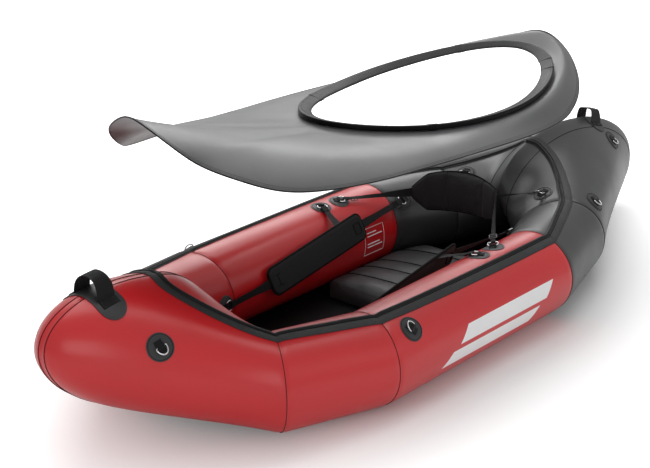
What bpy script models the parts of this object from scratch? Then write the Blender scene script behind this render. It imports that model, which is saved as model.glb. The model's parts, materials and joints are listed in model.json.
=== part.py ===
"""Packraft with an inflatable tube hull, cockpit fittings and a lifted spray deck.

X runs from the bow (-X) to the stern (+X), port is -Y and Z is up. Metres.
A place on the hull is a pair: how many panels aft of the bow seam it lies, and the angle
round the tube, with 0 outboard, 90 on top and 180 inboard. Starboard places are negative.
"""
from math import atan2
from math import cos
from math import pi
from math import radians
from math import sin
from math import sqrt

import bmesh
import bpy
from mathutils import Matrix
from mathutils import Vector

# Hull
HALF_LENGTH = 1.398
HALF_BEAM = 0.472
TUBE_RADIUS = 0.135
SKIN = 0.0009
SEAM_GAP = 0.0003
LAY_GAP = 0.0008
SEAT_GAP = 0.0004
TUBE_SIDES = 28
PANEL_STEPS = (6, 2, 2, 2, 8)
PANEL_NAMES = ("bow", "shoulder", "side", "quarter", "stern")
# Seam stations as shares: place along the half length, place across the half beam, then
# height and outward, inward and upward radii over the tube radius, with turn and tilt in degrees.
STATION_SHARES = (
    (-0.741, 0.000, 1.985, 2.770, 1.444, 1.311, -90.0, 16.0),
    (-0.619, 0.595, 1.222, 0.889, 1.007, 1.000, -33.0, 0.0),
    (-0.392, 0.720, 1.000, 0.963, 1.037, 1.000, -11.0, 0.0),
    (0.185, 0.703, 1.000, 1.052, 0.978, 1.000, 3.5, 0.0),
    (0.396, 0.540, 1.020, 1.000, 1.222, 1.000, 30.0, 8.0),
    (0.685, 0.000, 1.500, 3.275, 3.111, 1.459, 90.0, -6.7),
)
# How hard the curved panels leave their seams, as shares of the chord, and their headings.
BOW_PULL_SHARES = (0.57, 0.98)
BOW_HEADING = (50.0, 13.8)
STERN_PULL_SHARES = (0.95, 0.12)
STERN_HEADING = (29.0, 9.5)

# Floor
FLOOR_THICKNESS = 0.0012
FLOOR_ROW_SHARES = (0.03, 0.12, 0.3, 0.5, 0.75, 1, 1.5, 2, 3, 4, 4.3, 4.6, 4.85, 4.97)

# Attachment strip: its angle round the tube at places along the panels.
STRIP_WIDTH = 0.044
STRIP_THICKNESS = 0.003
STRIP_LIFT = 0.0022
STRIP_ANGLE_SHARES = (
    (0, 84), (0.3, 79), (0.6, 80), (1, 86), (1.5, 82), (2, 77), (2.2, 73), (3, 68),
    (3.4, 72), (4, 82), (4.2, 91), (4.4, 102), (4.7, 119), (5, 129),
)
STRIP_STEPS = (12, 2, 4, 2, 8)

# Patches, tabs and rings
TIE_PATCH_RADIUS = 0.037
PATCH_RADIUS = 0.034
PATCH_THICKNESS = 0.0012
PATCH_SIDES = 14
TAB_WIDTH = 0.022
TAB_HALF_DEPTH = 0.008
TAB_WALL = 0.0015
WIRE_RADIUS = 0.002
BORE_CLEARANCE = 0.0004
D_RING_HALF_WIDTH = 0.015
D_RING_DEPTH = 0.022
LINK_HALF_WIDTH = 0.016
LINK_DEPTH = 0.018
LINK_CORNER = 0.004
# Outer anchors: place, angle, the way the ring points (along, across, up) and its lift angle.
OUTER_ANCHOR_SHARES = {
    "bow": (0.51, 27.0, (0.3, 0.0, -1.0), 14.0),
    "middle": (2.10, 45.5, (-0.4, 0.0, 1.0), 16.0),
    "stern_low": (4.09, 40.0, (-0.2, 0.0, -1.0), 12.0),
    "stern_high": (4.64, 46.0, (0.2, 0.0, -1.0), 12.0),
}
# Inner anchors: place and angle.
INNER_ANCHOR_SHARES = {
    "front": (1.83, 180.0),
    "pad_top": (2.667, 100.0),
    "backrest_side": (2.77, 102.0),
    "pad_rear": (3.2, 135.0),
    "backrest_rear": (4.15, 112.0),
}

# Webbing
WEB_THICKNESS = 0.0012
WEB_WIDTH = 0.020
WEB_TAIL = 0.022
WEB_WRAP_GAP = 0.0006
WEB_END_GAP = 0.0008
NARROW_WEB_WIDTH = 0.014
THIN_WEB_WIDTH = 0.010

# Carrying handles: place along X, patch half sizes, webbing and arch.
HANDLES = {
    "bow": {
        "along_share": -0.8734, "patch_half_length": 0.040, "patch_half_span": 0.100,
        "web_half_width": 0.026, "foot": 0.022, "half_arch": 0.036, "height": 0.050,
        "angle": 52.0, "start": 0.2,
    },
    "stern": {
        "along_share": 0.7797, "patch_half_length": 0.042, "patch_half_span": 0.060,
        "web_half_width": 0.026, "foot": 0.016, "half_arch": 0.034, "height": 0.036,
        "angle": 69.0, "start": 4.8,
    },
}
HANDLE_THICKNESS = 0.0018
PATCH_STRAIGHT_SHARES = (0.0, 0.33, 0.67, 1.0)
PATCH_END_SHARES = (0.5, 0.82, 0.97)
# The arch over half its width and its height, from a foot to the middle.
ARCH_SHARES = ((1.0, 0.14), (0.97, 0.48), (0.80, 0.82), (0.45, 0.97), (0.0, 1.0))

# Seat mat
MAT_FRONT = -0.085
MAT_REAR = 0.360
MAT_HALF_WIDTH = 0.200
MAT_HEIGHT = 0.066
MAT_SIDE_GAP = 0.015
MAT_STEP_HEIGHT = 0.034
MAT_CHANNEL_SHARES = (0.12, 0.25, 0.50, 0.75)
MAT_CHANNEL_DEPTH = 0.014
MAT_CHANNEL_BOW = 0.014
# Cross-section points of the mat over its half width, and along each of its bars.
MAT_COLUMN_SHARES = (-1.0, -0.96, -0.7, -0.35, 0.0, 0.35, 0.7, 0.96, 1.0)
MAT_BAR_SHARES = (0.0, 0.12, 0.35, 0.65, 0.88)

# Backrest
BACKREST_X = 0.325
BACKREST_TIP_X = 0.285
BACKREST_HALF_SPAN = 0.170
BACKREST_PANEL_HALF = 0.080
BACKREST_MIDDLE_Z = 0.302
BACKREST_HALF_HEIGHT = 0.065
BACKREST_TIP_HALF_HEIGHT = 0.018
BACKREST_HALF_THICKNESS = 0.013
BACKREST_TIP_HALF_THICKNESS = 0.007
BACKREST_ROW_SHARES = (0.0, 0.16, 0.31, 0.43, 0.47, 0.51, 0.6, 0.7, 0.74, 0.78, 0.88, 0.96, 1.0)
BACKREST_SEAM_SHARES = (0.47, 0.74)
BACKREST_SEAM_DEPTH_SHARE = 0.45
BACKREST_WING_POWER = 1.2
# Closed section over the half depth and the half height.
BACKREST_OUTLINE_SHARES = (
    (1, -0.55), (1, 0.0), (1, 0.55), (0.75, 0.9), (0, 1), (-0.75, 0.9),
    (-1, 0.55), (-1, 0.0), (-1, -0.55), (-0.75, -0.9), (0, -1), (0.75, -0.9),
)
BACKREST_STRAP_Y = 0.095
BACKREST_STRAP_Z = 0.296
SIDE_STRAP_WIDTH = 0.030

# Thigh pads: places beside the side tube and the clear space to its wall.
PAD_FRONT_SHARES = (2.18, 171.0)
PAD_REAR_SHARES = (2.73, 138.0)
PAD_FRONT_SPACE = 0.020
PAD_REAR_SPACE = 0.054
PAD_WIDTH = 0.085
PAD_THICKNESS = 0.012
PAD_EDGE = 0.003
PAD_CORNER = 0.020
PAD_LEAN = 20.0
PAD_TOP_STRAP_SHARE = 0.78
PAD_STRAP_WIDTH = 0.030

# Deck
DECK_LIFT = 0.380
DECK_THICKNESS = 0.0010
DECK_CURL = 0.055
DECK_STEPS = 5
DECK_ROUNDING_SHARE = 0.3
COAMING_SEGMENTS = 48
# Edge of the deck beyond the strip: place, then shifts along, outward and up over the curl.
DECK_EDGE_SHARES = (
    (0, -1.0, 0.0, 0.98), (0.25, -0.29, 0.85, 0.15), (0.5, 0.30, 0.38, -0.30),
    (0.75, 0.50, 0.05, -0.06), (1, 0.0, 0.0, 0.0), (2.4, 0.0, 0.0, 0.0),
    (3, 0.0, 0.05, -0.22), (3.4, 0.05, 0.25, -0.22), (3.8, 0.15, 0.40, -0.05),
    (4.2, 0.35, 0.40, 0.05), (4.6, 0.40, 0.30, -0.05), (5, 0.75, 0.0, -0.15),
)
# Seam lines of the deck's cloth, as places of its edge, and the angle of the cockpit hole
# that each place runs to, from the stern in degrees.
DECK_PLACE_SHARES = (
    0, 0.12, 0.25, 0.38, 0.5, 0.63, 0.76, 0.9, 1.05, 1.3, 1.65, 2.0, 2.25, 2.5, 2.75, 3.0,
    3.3, 3.6, 3.85, 4.1, 4.28, 4.45, 4.62, 4.8, 5,
)
DECK_TURN_SHARES = (
    (0, 180), (0.25, 176.5), (0.5, 173), (0.75, 169), (1, 165), (1.3, 160), (2.05, 140),
    (2.55, 115), (3, 92), (3.6, 70), (4.15, 45), (4.6, 20), (5, 0),
)
# Way the skin leaves the rim (out, up) and meets the edge (out, down), over its width.
DECK_SLOPE_SHARES = (
    (0, 0.90, 0.12, 0.90, -0.36), (0.25, 0.90, 0.08, 0.90, -0.15), (0.5, 0.85, 0.05, 0.85, 0.20),
    (1, 0.90, 0.0, 0.80, 0.45), (2, 0.95, 0.0, 0.85, 0.35), (3, 0.95, 0.0, 0.80, 0.40),
    (3.6, 0.90, 0.20, 0.70, 0.55), (4.2, 0.90, 0.30, 0.70, 0.60), (5, 0.80, 0.15, 0.80, 0.40),
)
HOLE_CENTRE_X = 0.185
HOLE_FRONT = 0.526
HOLE_REAR = 0.433
HOLE_HALF_WIDTH = 0.259
HOLE_POWER = 1.85
HOLE_HEIGHT = 0.670
HOLE_SLOPE_SHARE = 0.041
HOLE_RISE_SHARE = 0.0984
COAMING_WIDTH = 0.036
COAMING_RISE = 0.014
COAMING_EDGE = 0.004
COAMING_DROP = 0.003
DECK_TUCK = 0.014

# Inflation valve on the starboard quarter
VALVE_SHARES = (-3.5, 20.0)
VALVE_PATCH_RADIUS = 0.032
VALVE_NECK_RADIUS = 0.016
VALVE_NECK_HEIGHT = 0.010
VALVE_CAP_WALL = 0.003
VALVE_CAP_HEIGHT = 0.014

# Numeric settings of the surface search
WALL_START = (2.7, 205.0)
PLACE_STEP = 0.002
ANGLE_STEP = 0.2
SEARCH_ROUNDS = 7


def clear_scene():
    for item in list(bpy.data.objects):
        bpy.data.objects.remove(item, do_unlink=True)


def make_collection(name):
    found = bpy.data.collections.get(name)
    if found is None:
        found = bpy.data.collections.new(name)
        bpy.context.scene.collection.children.link(found)
    return found


def material(name, colour, roughness, metallic=0.0):
    made = bpy.data.materials.new(name)
    made.use_nodes = True
    shader = made.node_tree.nodes["Principled BSDF"]
    shader.inputs["Base Color"].default_value = (*colour, 1.0)
    shader.inputs["Roughness"].default_value = roughness
    shader.inputs["Metallic"].default_value = metallic
    return made


clear_scene()
RAFT = make_collection("Packraft")
CUTTERS = make_collection("Cutters")
RED = (0.50, 0.014, 0.018)
GREY = (0.060, 0.062, 0.065)
BLACK = (0.012, 0.012, 0.013)
MAT_GREY = (0.045, 0.045, 0.048)
DECK_GREY = (0.20, 0.20, 0.205)
STEEL = (0.75, 0.75, 0.77)


def link(item, name, colour, roughness, metallic=0.0, collection=RAFT):
    """Put an object in its collection with a material of its own."""
    item.name = name
    collection.objects.link(item)
    item.data.materials.clear()
    item.data.materials.append(material(name, colour, roughness, metallic))
    return item


def mesh_object(name, points, faces, origin, look, smooth=40.0):
    """A mesh made at its place in the raft, with its origin moved to a point of its own."""
    mesh = bpy.data.meshes.new(name)
    mesh.from_pydata([tuple(point - origin) for point in points], [], faces)
    mesh.update()
    mesh.shade_smooth()
    mesh.set_sharp_from_angle(angle=radians(smooth))
    item = bpy.data.objects.new(name, mesh)
    item.location = origin
    return link(item, name, *look)


def as_helper(item):
    """Move an object that only cuts or joins another to the cutters."""
    RAFT.objects.unlink(item)
    CUTTERS.objects.link(item)
    item.hide_render = True
    item.display_type = "WIRE"
    return item


def boolean(item, helper, operation):
    change = item.modifiers.new(operation.title(), "BOOLEAN")
    change.operation = operation
    change.solver = "EXACT"
    change.object = helper


def solidify(item, thickness, offset):
    change = item.modifiers.new("Thickness", "SOLIDIFY")
    change.thickness = thickness
    change.offset = offset
    change.use_even_offset = True


def grid_faces(rows, columns, ring_rows=False, ring_columns=False):
    """Quads of a grid of points, which may close on itself either way."""
    faces = []
    for row in range(rows if ring_rows else rows - 1):
        for column in range(columns if ring_columns else columns - 1):
            after = (row + 1) % rows
            beside = (column + 1) % columns
            faces.append((
                row * columns + column,
                row * columns + beside,
                after * columns + beside,
                after * columns + column,
            ))
    return faces


def sheet(name, rows, thickness, offset, origin, look, ring_rows=False):
    """An open surface through rows of points, given its thickness."""
    points = [point for row in rows for point in row]
    faces = grid_faces(len(rows), len(rows[0]), ring_rows)
    item = mesh_object(name, points, faces, origin, look)
    solidify(item, thickness, offset)
    return item


def loft(name, rows, origin, look, ring_rows=False, smooth=40.0):
    """A solid through closed sections, with flat ends unless it closes on itself."""
    sides = len(rows[0])
    points = [point for row in rows for point in row]
    faces = [face[::-1] for face in grid_faces(len(rows), sides, ring_rows, True)]
    if not ring_rows:
        faces.append(tuple(range(sides)))
        faces.append(tuple(reversed(range((len(rows) - 1) * sides, len(rows) * sides))))
    return mesh_object(name, points, faces, origin, look, smooth)


def blend(table, place, column=1):
    """A value of a table at a place, by a smooth curve through its rows."""
    places = [row[0] for row in table]
    values = [row[column] for row in table]
    last = len(places) - 1
    slopes = []
    for index in range(last + 1):
        if index in (0, last):
            slopes.append(0.0)
            continue
        before = (values[index] - values[index - 1]) / (places[index] - places[index - 1])
        beyond = (values[index + 1] - values[index]) / (places[index + 1] - places[index])
        slopes.append((before + beyond) / 2)
    spot = min(max(place, places[0]), places[-1])
    index = 0
    while index < last - 1 and spot > places[index + 1]:
        index += 1
    span = places[index + 1] - places[index]
    part = (spot - places[index]) / span
    return (
        (2 * part ** 3 - 3 * part ** 2 + 1) * values[index]
        + (part ** 3 - 2 * part ** 2 + part) * span * slopes[index]
        + (3 * part ** 2 - 2 * part ** 3) * values[index + 1]
        + (part ** 3 - part ** 2) * span * slopes[index + 1]
    )


def hermite(start, end, leaving, arriving, part):
    return (
        (2 * part ** 3 - 3 * part ** 2 + 1) * start
        + (part ** 3 - 2 * part ** 2 + part) * leaving
        + (3 * part ** 2 - 2 * part ** 3) * end
        + (part ** 3 - part ** 2) * arriving
    )


# Hull surface

def heading(degrees, rise):
    return Vector((
        cos(radians(degrees)) * cos(radians(rise)),
        sin(radians(degrees)) * cos(radians(rise)),
        sin(radians(rise)),
    ))


def station_point(index, angle, inset=0.0):
    """A point of a seam's cross-section on the port side."""
    along, across, height, out, inward, up, turn, tilt = STATION_SHARES[index]
    centre = Vector((along * HALF_LENGTH, -across * HALF_BEAM, height * TUBE_RADIUS))
    level = Vector((sin(radians(turn)), -cos(radians(turn)), 0))
    outward = cos(radians(tilt)) * level + sin(radians(tilt)) * Vector((0, 0, 1))
    upward = cos(radians(tilt)) * Vector((0, 0, 1)) - sin(radians(tilt)) * level
    side = out if cos(radians(angle)) >= 0 else inward
    reach = side * TUBE_RADIUS - inset
    rise = up * TUBE_RADIUS - inset
    return centre + reach * cos(radians(angle)) * outward + rise * sin(radians(angle)) * upward


def port_surface(place, angle, inset=0.0):
    last = len(PANEL_STEPS)
    index = min(int(place), last - 1)
    part = place - index
    start = station_point(index, angle, inset)
    end = station_point(index + 1, angle, inset)
    chord = (end - start).length
    if index == 0:
        leaving = Vector((0, -1, 0)) * chord * BOW_PULL_SHARES[0]
        arriving = heading(-BOW_HEADING[0], -BOW_HEADING[1]) * chord * BOW_PULL_SHARES[1]
        return hermite(start, end, leaving, arriving, part)
    if index == last - 1:
        leaving = heading(*STERN_HEADING) * chord * STERN_PULL_SHARES[0]
        arriving = Vector((0, 1, 0)) * chord * STERN_PULL_SHARES[1]
        return hermite(start, end, leaving, arriving, part)
    return start.lerp(end, part)


def surface(place, angle, inset=0.0):
    """A point of the whole hull: port places count up from the bow, starboard ones down."""
    last = len(PANEL_STEPS)
    wrapped = (place + last) % (2 * last) - last
    point = port_surface(abs(wrapped), angle, inset)
    if wrapped < 0:
        point.y = -point.y
    return point


def surface_normal(place, angle):
    along = surface(place + PLACE_STEP, angle) - surface(place - PLACE_STEP, angle)
    around = surface(place, angle + ANGLE_STEP) - surface(place, angle - ANGLE_STEP)
    return along.cross(around).normalized()


def facet_heights(corners, across, along, point, normal):
    """How far a quad's two halves stand over a point, however the quad is halved."""
    first, beside, after, last = corners
    if across > along:
        folded = first + across * (beside - first) + along * (last - beside)
    else:
        folded = first + along * (after - first) + across * (last - after)
    if across + along < 1:
        crossed = first + across * (beside - first) + along * (after - first)
    else:
        crossed = last + (1 - across) * (after - last) + (1 - along) * (beside - last)
    return [0, (folded - point).dot(normal), (crossed - point).dot(normal)]


def lifted(place, angle, lift):
    """A point over the hull, clear of its flat facets where the hull is hollow-cheeked."""
    last = len(PANEL_STEPS)
    point = surface(place, angle)
    normal = surface_normal(place, angle)
    wrapped = (place + last) % (2 * last) - last
    index = min(int(abs(wrapped)), last - 1)
    steps = PANEL_STEPS[index]
    along = (abs(wrapped) - index) * steps
    around = angle * TUBE_SIDES / 360
    row = min(int(along), steps - 1)
    column = int(around // 1)
    corners = []
    for near, beside in ((0, 0), (0, 1), (1, 0), (1, 1)):
        corner = port_surface(index + (row + near) / steps, (column + beside) * 360 / TUBE_SIDES)
        if wrapped < 0:
            corner.y = -corner.y
        corners.append(corner)
    over = max(facet_heights(corners, around - column, along - row, point, normal))
    return point + (over + lift) * normal


def surface_search(place, angle, error):
    """Move a place on the hull until both values of error are zero."""
    for _ in range(SEARCH_ROUNDS):
        first = error(surface(place, angle))
        by_place = error(surface(place + PLACE_STEP, angle))
        by_angle = error(surface(place, angle + ANGLE_STEP))
        slope = [[(by_place[row] - first[row]) / PLACE_STEP for row in range(2)]]
        slope.append([(by_angle[row] - first[row]) / ANGLE_STEP for row in range(2)])
        size = slope[0][0] * slope[1][1] - slope[0][1] * slope[1][0]
        place -= (first[0] * slope[1][1] - first[1] * slope[1][0]) / size
        angle -= (first[1] * slope[0][0] - first[0] * slope[0][1]) / size
    return place, angle


def hull_frame(place, angle, aim):
    """Axes on the hull's surface: Z outward, Y the way aim points, X across it."""
    normal = surface_normal(place, angle)
    pull = (aim - aim.dot(normal) * normal).normalized()
    side = pull.cross(normal)
    frame = Matrix((side, pull, normal)).transposed().to_4x4()
    frame.translation = lifted(place, angle, 0)
    return frame


def draped(place, angle, frame, right, forward, lift):
    """The point over the hull at a flat place of a frame, lifted along the normal."""
    inverse = frame.inverted()

    def error(point):
        local = inverse @ point
        return local.x - right, local.y - forward

    found = surface_search(place, angle, error)
    return lifted(*found, lift)


def on_top(start, angle, along, across, lift):
    """The point over the hull at a place seen from above."""
    def error(point):
        return point.x - along, point.y + abs(across)

    found = surface_search(start, angle, error)
    point = surface(*found)
    normal = surface_normal(*found)
    if across > 0:
        point.y = -point.y
        normal.y = -normal.y
    point.y = across
    return point + Vector((0, 0, lift / max(normal.z, cos(radians(60)))))


def inner_wall(along, height):
    """Half the clear width between the side tubes at a place and a height."""
    def error(point):
        return point.x - along, point.z - height

    found = surface_search(*WALL_START, error)
    return -surface(*found).y


# Hull pieces

def wall_faces(rows, count):
    """Triangles of a panel's wall: both faces split alike, along the diagonal that stands out."""
    steps = len(rows) - 1
    faces = []
    for row, corners in enumerate(grid_faces(count, TUBE_SIDES, True, True)):
        step, column = divmod(row, TUBE_SIDES)
        outer = step if step < steps else 2 * steps - step
        if outer < 0 or step == steps:
            faces.append(corners)
            continue
        beside = (column + 1) % TUBE_SIDES
        first, second = rows[outer][column], rows[outer][beside]
        third, fourth = rows[outer + 1][beside], rows[outer + 1][column]
        outward = (fourth - first).cross(second - first)
        straight = ((first + third) - (second + fourth)).dot(outward) > 0
        if step > steps:
            straight = not straight
        one, two, three, four = corners
        if straight:
            faces += [(one, two, three), (one, three, four)]
        else:
            faces += [(two, three, four), (two, four, one)]
    return faces


def hull_panel(index, side, name):
    """One welded tube panel: a thin wall from seam to seam, open at both ends."""
    steps = PANEL_STEPS[index]
    angles = [360 * corner / TUBE_SIDES for corner in range(TUBE_SIDES)]
    rows = []
    inner_rows = []
    for step in range(steps + 1):
        row = []
        inner_row = []
        for angle in angles:
            place = index + step / steps
            if step in (0, steps):
                way = 1 if step == 0 else -1
                ahead = port_surface(index + step / steps + way * PLACE_STEP, angle)
                speed = (ahead - port_surface(place, angle)).length / PLACE_STEP
                place += way * SEAM_GAP / 2 / speed
            row.append(port_surface(place, angle))
            inner_row.append(port_surface(place, angle, SKIN))
        rows.append(row)
        inner_rows.append(inner_row)
    section_rows = rows + inner_rows[::-1]
    points = [point for row in section_rows for point in row]
    faces = wall_faces(rows, len(section_rows))
    if side > 0:
        points = [Vector((point.x, -point.y, point.z)) for point in points]
    else:
        faces = [face[::-1] for face in faces]
    colour = RED if index < 3 else GREY
    middle = surface(-side * (index + 0.5), 0).lerp(surface(-side * (index + 0.5), 180), 0.5)
    mesh_object(name, points, faces, middle, (colour, 0.38), 35.0)


def make_hull():
    for index, name in enumerate(PANEL_NAMES):
        hull_panel(index, -1, "hull_" + name + "_port")
        hull_panel(index, 1, "hull_" + name + "_starboard")


def make_floor():
    """The floor sheet hangs between the tubes' lower inner sides."""
    angle = -90 - 360 / TUBE_SIDES
    rows = []
    for place in FLOOR_ROW_SHARES:
        edge = surface(place, angle)
        height = edge.z - FLOOR_THICKNESS - SEAT_GAP
        row = []
        for share in (1.0, 0.5, 0.0, -0.5, -1.0):
            row.append(Vector((edge.x, edge.y * share, height)))
        rows.append(row[::-1])
    sheet("floor_sheet", rows, FLOOR_THICKNESS, 1, Vector((0, 0, 0)), (BLACK, 0.6))


def strip_point(place, across=0.0, lift=0.0):
    """A point of the attachment strip, across measured round the tube."""
    angle = blend(STRIP_ANGLE_SHARES, abs(place))
    around = surface(place, angle + ANGLE_STEP) - surface(place, angle - ANGLE_STEP)
    angle += across / around.length * 2 * ANGLE_STEP
    return lifted(place, angle, lift)


def strip_places():
    places = []
    for index, steps in enumerate(STRIP_STEPS):
        places += [index + step / steps for step in range(steps)]
    starboard = [-place for place in places[1:]]
    return places + [len(STRIP_STEPS)] + starboard[::-1]


def make_strip():
    rows = []
    for place in strip_places():
        half = STRIP_WIDTH / 2
        rows.append([strip_point(place, across, STRIP_LIFT) for across in (half, 0, -half)])
    sheet("deck_strip", rows, STRIP_THICKNESS, 1, surface(2.5, 90), (BLACK, 0.5), True)


# Anchors

def patch_disc(name, place, angle, frame, radius, look):
    """A round patch laid over the tube."""
    points = [draped(place, angle, frame, 0, 0, LAY_GAP)]
    for ring in (0.5, 1.0):
        for corner in range(PATCH_SIDES):
            turn = 2 * pi * corner / PATCH_SIDES
            right = radius * ring * cos(turn)
            forward = radius * ring * sin(turn)
            points.append(draped(place, angle, frame, right, forward, LAY_GAP))
    faces = []
    for corner in range(PATCH_SIDES):
        beside = (corner + 1) % PATCH_SIDES
        inner = 1 + corner
        inner_beside = 1 + beside
        faces.append((0, inner, inner_beside))
        faces.append((inner, inner + PATCH_SIDES, inner_beside + PATCH_SIDES, inner_beside))
    item = mesh_object(name, points, faces, points[0].copy(), look)
    solidify(item, PATCH_THICKNESS, 1)
    return item


def bar_height():
    return LAY_GAP + PATCH_THICKNESS + TAB_WALL + WIRE_RADIUS + BORE_CLEARANCE


def curve_object(name, outlines, flat=False):
    """Closed outlines as one curve object."""
    data = bpy.data.curves.new(name, "CURVE")
    data.dimensions = "2D" if flat else "3D"
    for outline in outlines:
        spline = data.splines.new("POLY")
        spline.points.add(len(outline) - 1)
        for point, place in zip(spline.points, outline):
            point.co = (*place, 1.0)
        spline.use_cyclic_u = True
    return bpy.data.objects.new(name, data)


def to_mesh(item, matrix, name, look):
    """Replace a curve by its welded mesh at a matrix."""
    CUTTERS.objects.link(item)
    bpy.context.view_layer.update()
    graph = bpy.context.evaluated_depsgraph_get()
    mesh = bpy.data.meshes.new_from_object(item.evaluated_get(graph))
    bpy.data.objects.remove(item, do_unlink=True)
    work = bmesh.new()
    work.from_mesh(mesh)
    bmesh.ops.remove_doubles(work, verts=work.verts, dist=SEAM_GAP / 10)
    bmesh.ops.recalc_face_normals(work, faces=work.faces)
    work.to_mesh(mesh)
    work.free()
    made = bpy.data.objects.new(name, mesh)
    made.matrix_world = matrix
    return link(made, name, *look)


def tab_outline():
    """Side view of a sewn tab: a flat foot under a rounded top."""
    radius = WIRE_RADIUS + BORE_CLEARANCE + TAB_WALL
    foot = LAY_GAP + PATCH_THICKNESS / 2
    outline = [(-TAB_HALF_DEPTH, foot, 0), (TAB_HALF_DEPTH, foot, 0)]
    outline.append((TAB_HALF_DEPTH, foot + PATCH_THICKNESS, 0))
    for turn in (20, 55, 90, 125, 160):
        outline.append((radius * cos(radians(turn)), bar_height() + radius * sin(radians(turn)), 0))
    outline.append((-TAB_HALF_DEPTH, foot + PATCH_THICKNESS, 0))
    return outline


def add_tab(item, frame, bored):
    """Join the tab to its patch, with a tunnel for a loose ring."""
    outlines = [tab_outline()]
    if bored:
        sides = 8
        radius = (WIRE_RADIUS + BORE_CLEARANCE) / cos(pi / sides)
        outlines.append([
            (radius * cos(2 * pi * corner / sides), bar_height() + radius * sin(2 * pi * corner / sides), 0)
            for corner in range(sides)
        ])
    tab = curve_object(item.name + "_tab", outlines, True)
    tab.data.fill_mode = "BOTH"
    tab.data.extrude = TAB_WIDTH / 2
    turn = Matrix(((0, 0, 1), (1, 0, 0), (0, 1, 0))).to_4x4()
    made = to_mesh(tab, frame @ turn, item.name + "_tab", (BLACK, 0.6))
    boolean(item, as_helper(made), "UNION")


def wire_ring(name, outline, matrix, look):
    """A closed ring of round wire."""
    ring = curve_object(name, [outline])
    ring.data.bevel_depth = WIRE_RADIUS
    ring.data.bevel_resolution = 1
    ring.matrix_world = matrix
    return link(ring, name, *look)


def d_ring_outline():
    outline = [(-D_RING_HALF_WIDTH, 0, 0), (D_RING_HALF_WIDTH, 0, 0)]
    for turn in (26, 50, 70, 90, 110, 130, 154):
        outline.append((D_RING_HALF_WIDTH * cos(radians(turn)), D_RING_DEPTH * sin(radians(turn)), 0))
    return outline


def link_outline():
    inner = LINK_HALF_WIDTH - LINK_CORNER
    return [
        (-LINK_HALF_WIDTH, 0, 0), (LINK_HALF_WIDTH, 0, 0),
        (LINK_HALF_WIDTH, LINK_DEPTH - LINK_CORNER, 0), (inner, LINK_DEPTH, 0),
        (-inner, LINK_DEPTH, 0), (-LINK_HALF_WIDTH, LINK_DEPTH - LINK_CORNER, 0),
    ]


def side_name(side):
    return "port" if side < 0 else "starboard"


def make_outer_anchor(key, side):
    """A patch with a sewn tab and a loose D-ring that turns in it."""
    place, angle, aim, raised = OUTER_ANCHOR_SHARES[key]
    place = -side * place
    frame = hull_frame(place, angle, Vector(aim))
    name = "tie_patch_" + key + "_" + side_name(side)
    patch = patch_disc(name, place, angle, frame, TIE_PATCH_RADIUS, (BLACK, 0.55))
    add_tab(patch, frame, True)
    pivot = frame @ Matrix.Translation((0, 0, bar_height())) @ Matrix.Rotation(radians(raised), 4, "X")
    wire_ring("d_ring_" + key + "_" + side_name(side), d_ring_outline(), pivot, (STEEL, 0.25, 1.0))


def make_inner_anchor(key, side, target):
    """A patch with a fixed ring that points at its strap; gives the ring's far bar and axes."""
    place, angle = INNER_ANCHOR_SHARES[key]
    place = -side * place
    aim = target - surface(place, angle)
    frame = hull_frame(place, angle, aim)
    name = "anchor_" + key + "_" + side_name(side)
    patch = patch_disc(name, place, angle, frame, PATCH_RADIUS, (BLACK, 0.55))
    add_tab(patch, frame, False)
    pivot = frame @ Matrix.Translation((0, 0, bar_height()))
    local = pivot.inverted() @ target
    raised = max(atan2(local.z, local.y), radians(4))
    pivot = pivot @ Matrix.Rotation(raised, 4, "X")
    outline = link_outline()
    ring = curve_object(name + "_ring", [outline])
    ring.data.bevel_depth = WIRE_RADIUS
    ring.data.bevel_resolution = 1
    made = to_mesh(ring, pivot, name + "_ring", (STEEL, 0.3, 1.0))
    boolean(patch, as_helper(made), "UNION")
    return pivot @ Vector((0, LINK_DEPTH, 0)), pivot.to_3x3() @ Vector((1, 0, 0))


# Straps

def ribbon(name, centres, sides, widths, thickness, look):
    rows = []
    for centre, side, width in zip(centres, sides, widths):
        half = side.normalized() * width / 2
        rows.append([centre - half, centre + half])
    return sheet(name, rows, thickness, 0, centres[0].copy(), look)


def make_strap(name, start, start_side, start_width, end_width, bar, axis):
    """Webbing from a sewn end to a ring's bar, round it and back along itself."""
    run = (start - bar).normalized()
    if axis.dot(start_side) < 0:
        axis = -axis
    rise = axis.cross(run).normalized()
    reach = WIRE_RADIUS + WEB_WRAP_GAP + WEB_THICKNESS / 2
    knee = 2 * WIRE_RADIUS
    centres = []
    sides = []
    widths = []
    for step in range(5):
        part = step / 5
        centres.append(start.lerp(bar + run * WEB_TAIL, part))
        sides.append(start_side.lerp(axis, part))
        widths.append(start_width + (end_width - start_width) * min(1.0, part * 2))
    centres.append(bar + run * WEB_TAIL)
    centres.append(bar + run * knee + rise * reach)
    for turn in (0, 45, 90, 135, 180):
        centres.append(bar - run * reach * sin(radians(turn)) + rise * reach * cos(radians(turn)))
    centres.append(bar + run * knee - rise * reach)
    centres.append(bar + run * WEB_TAIL - rise * (WEB_THICKNESS + SEAT_GAP))
    while len(sides) < len(centres):
        sides.append(axis)
        widths.append(end_width)
    ribbon(name, centres, sides, widths, WEB_THICKNESS, (BLACK, 0.7))


# Handles

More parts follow.
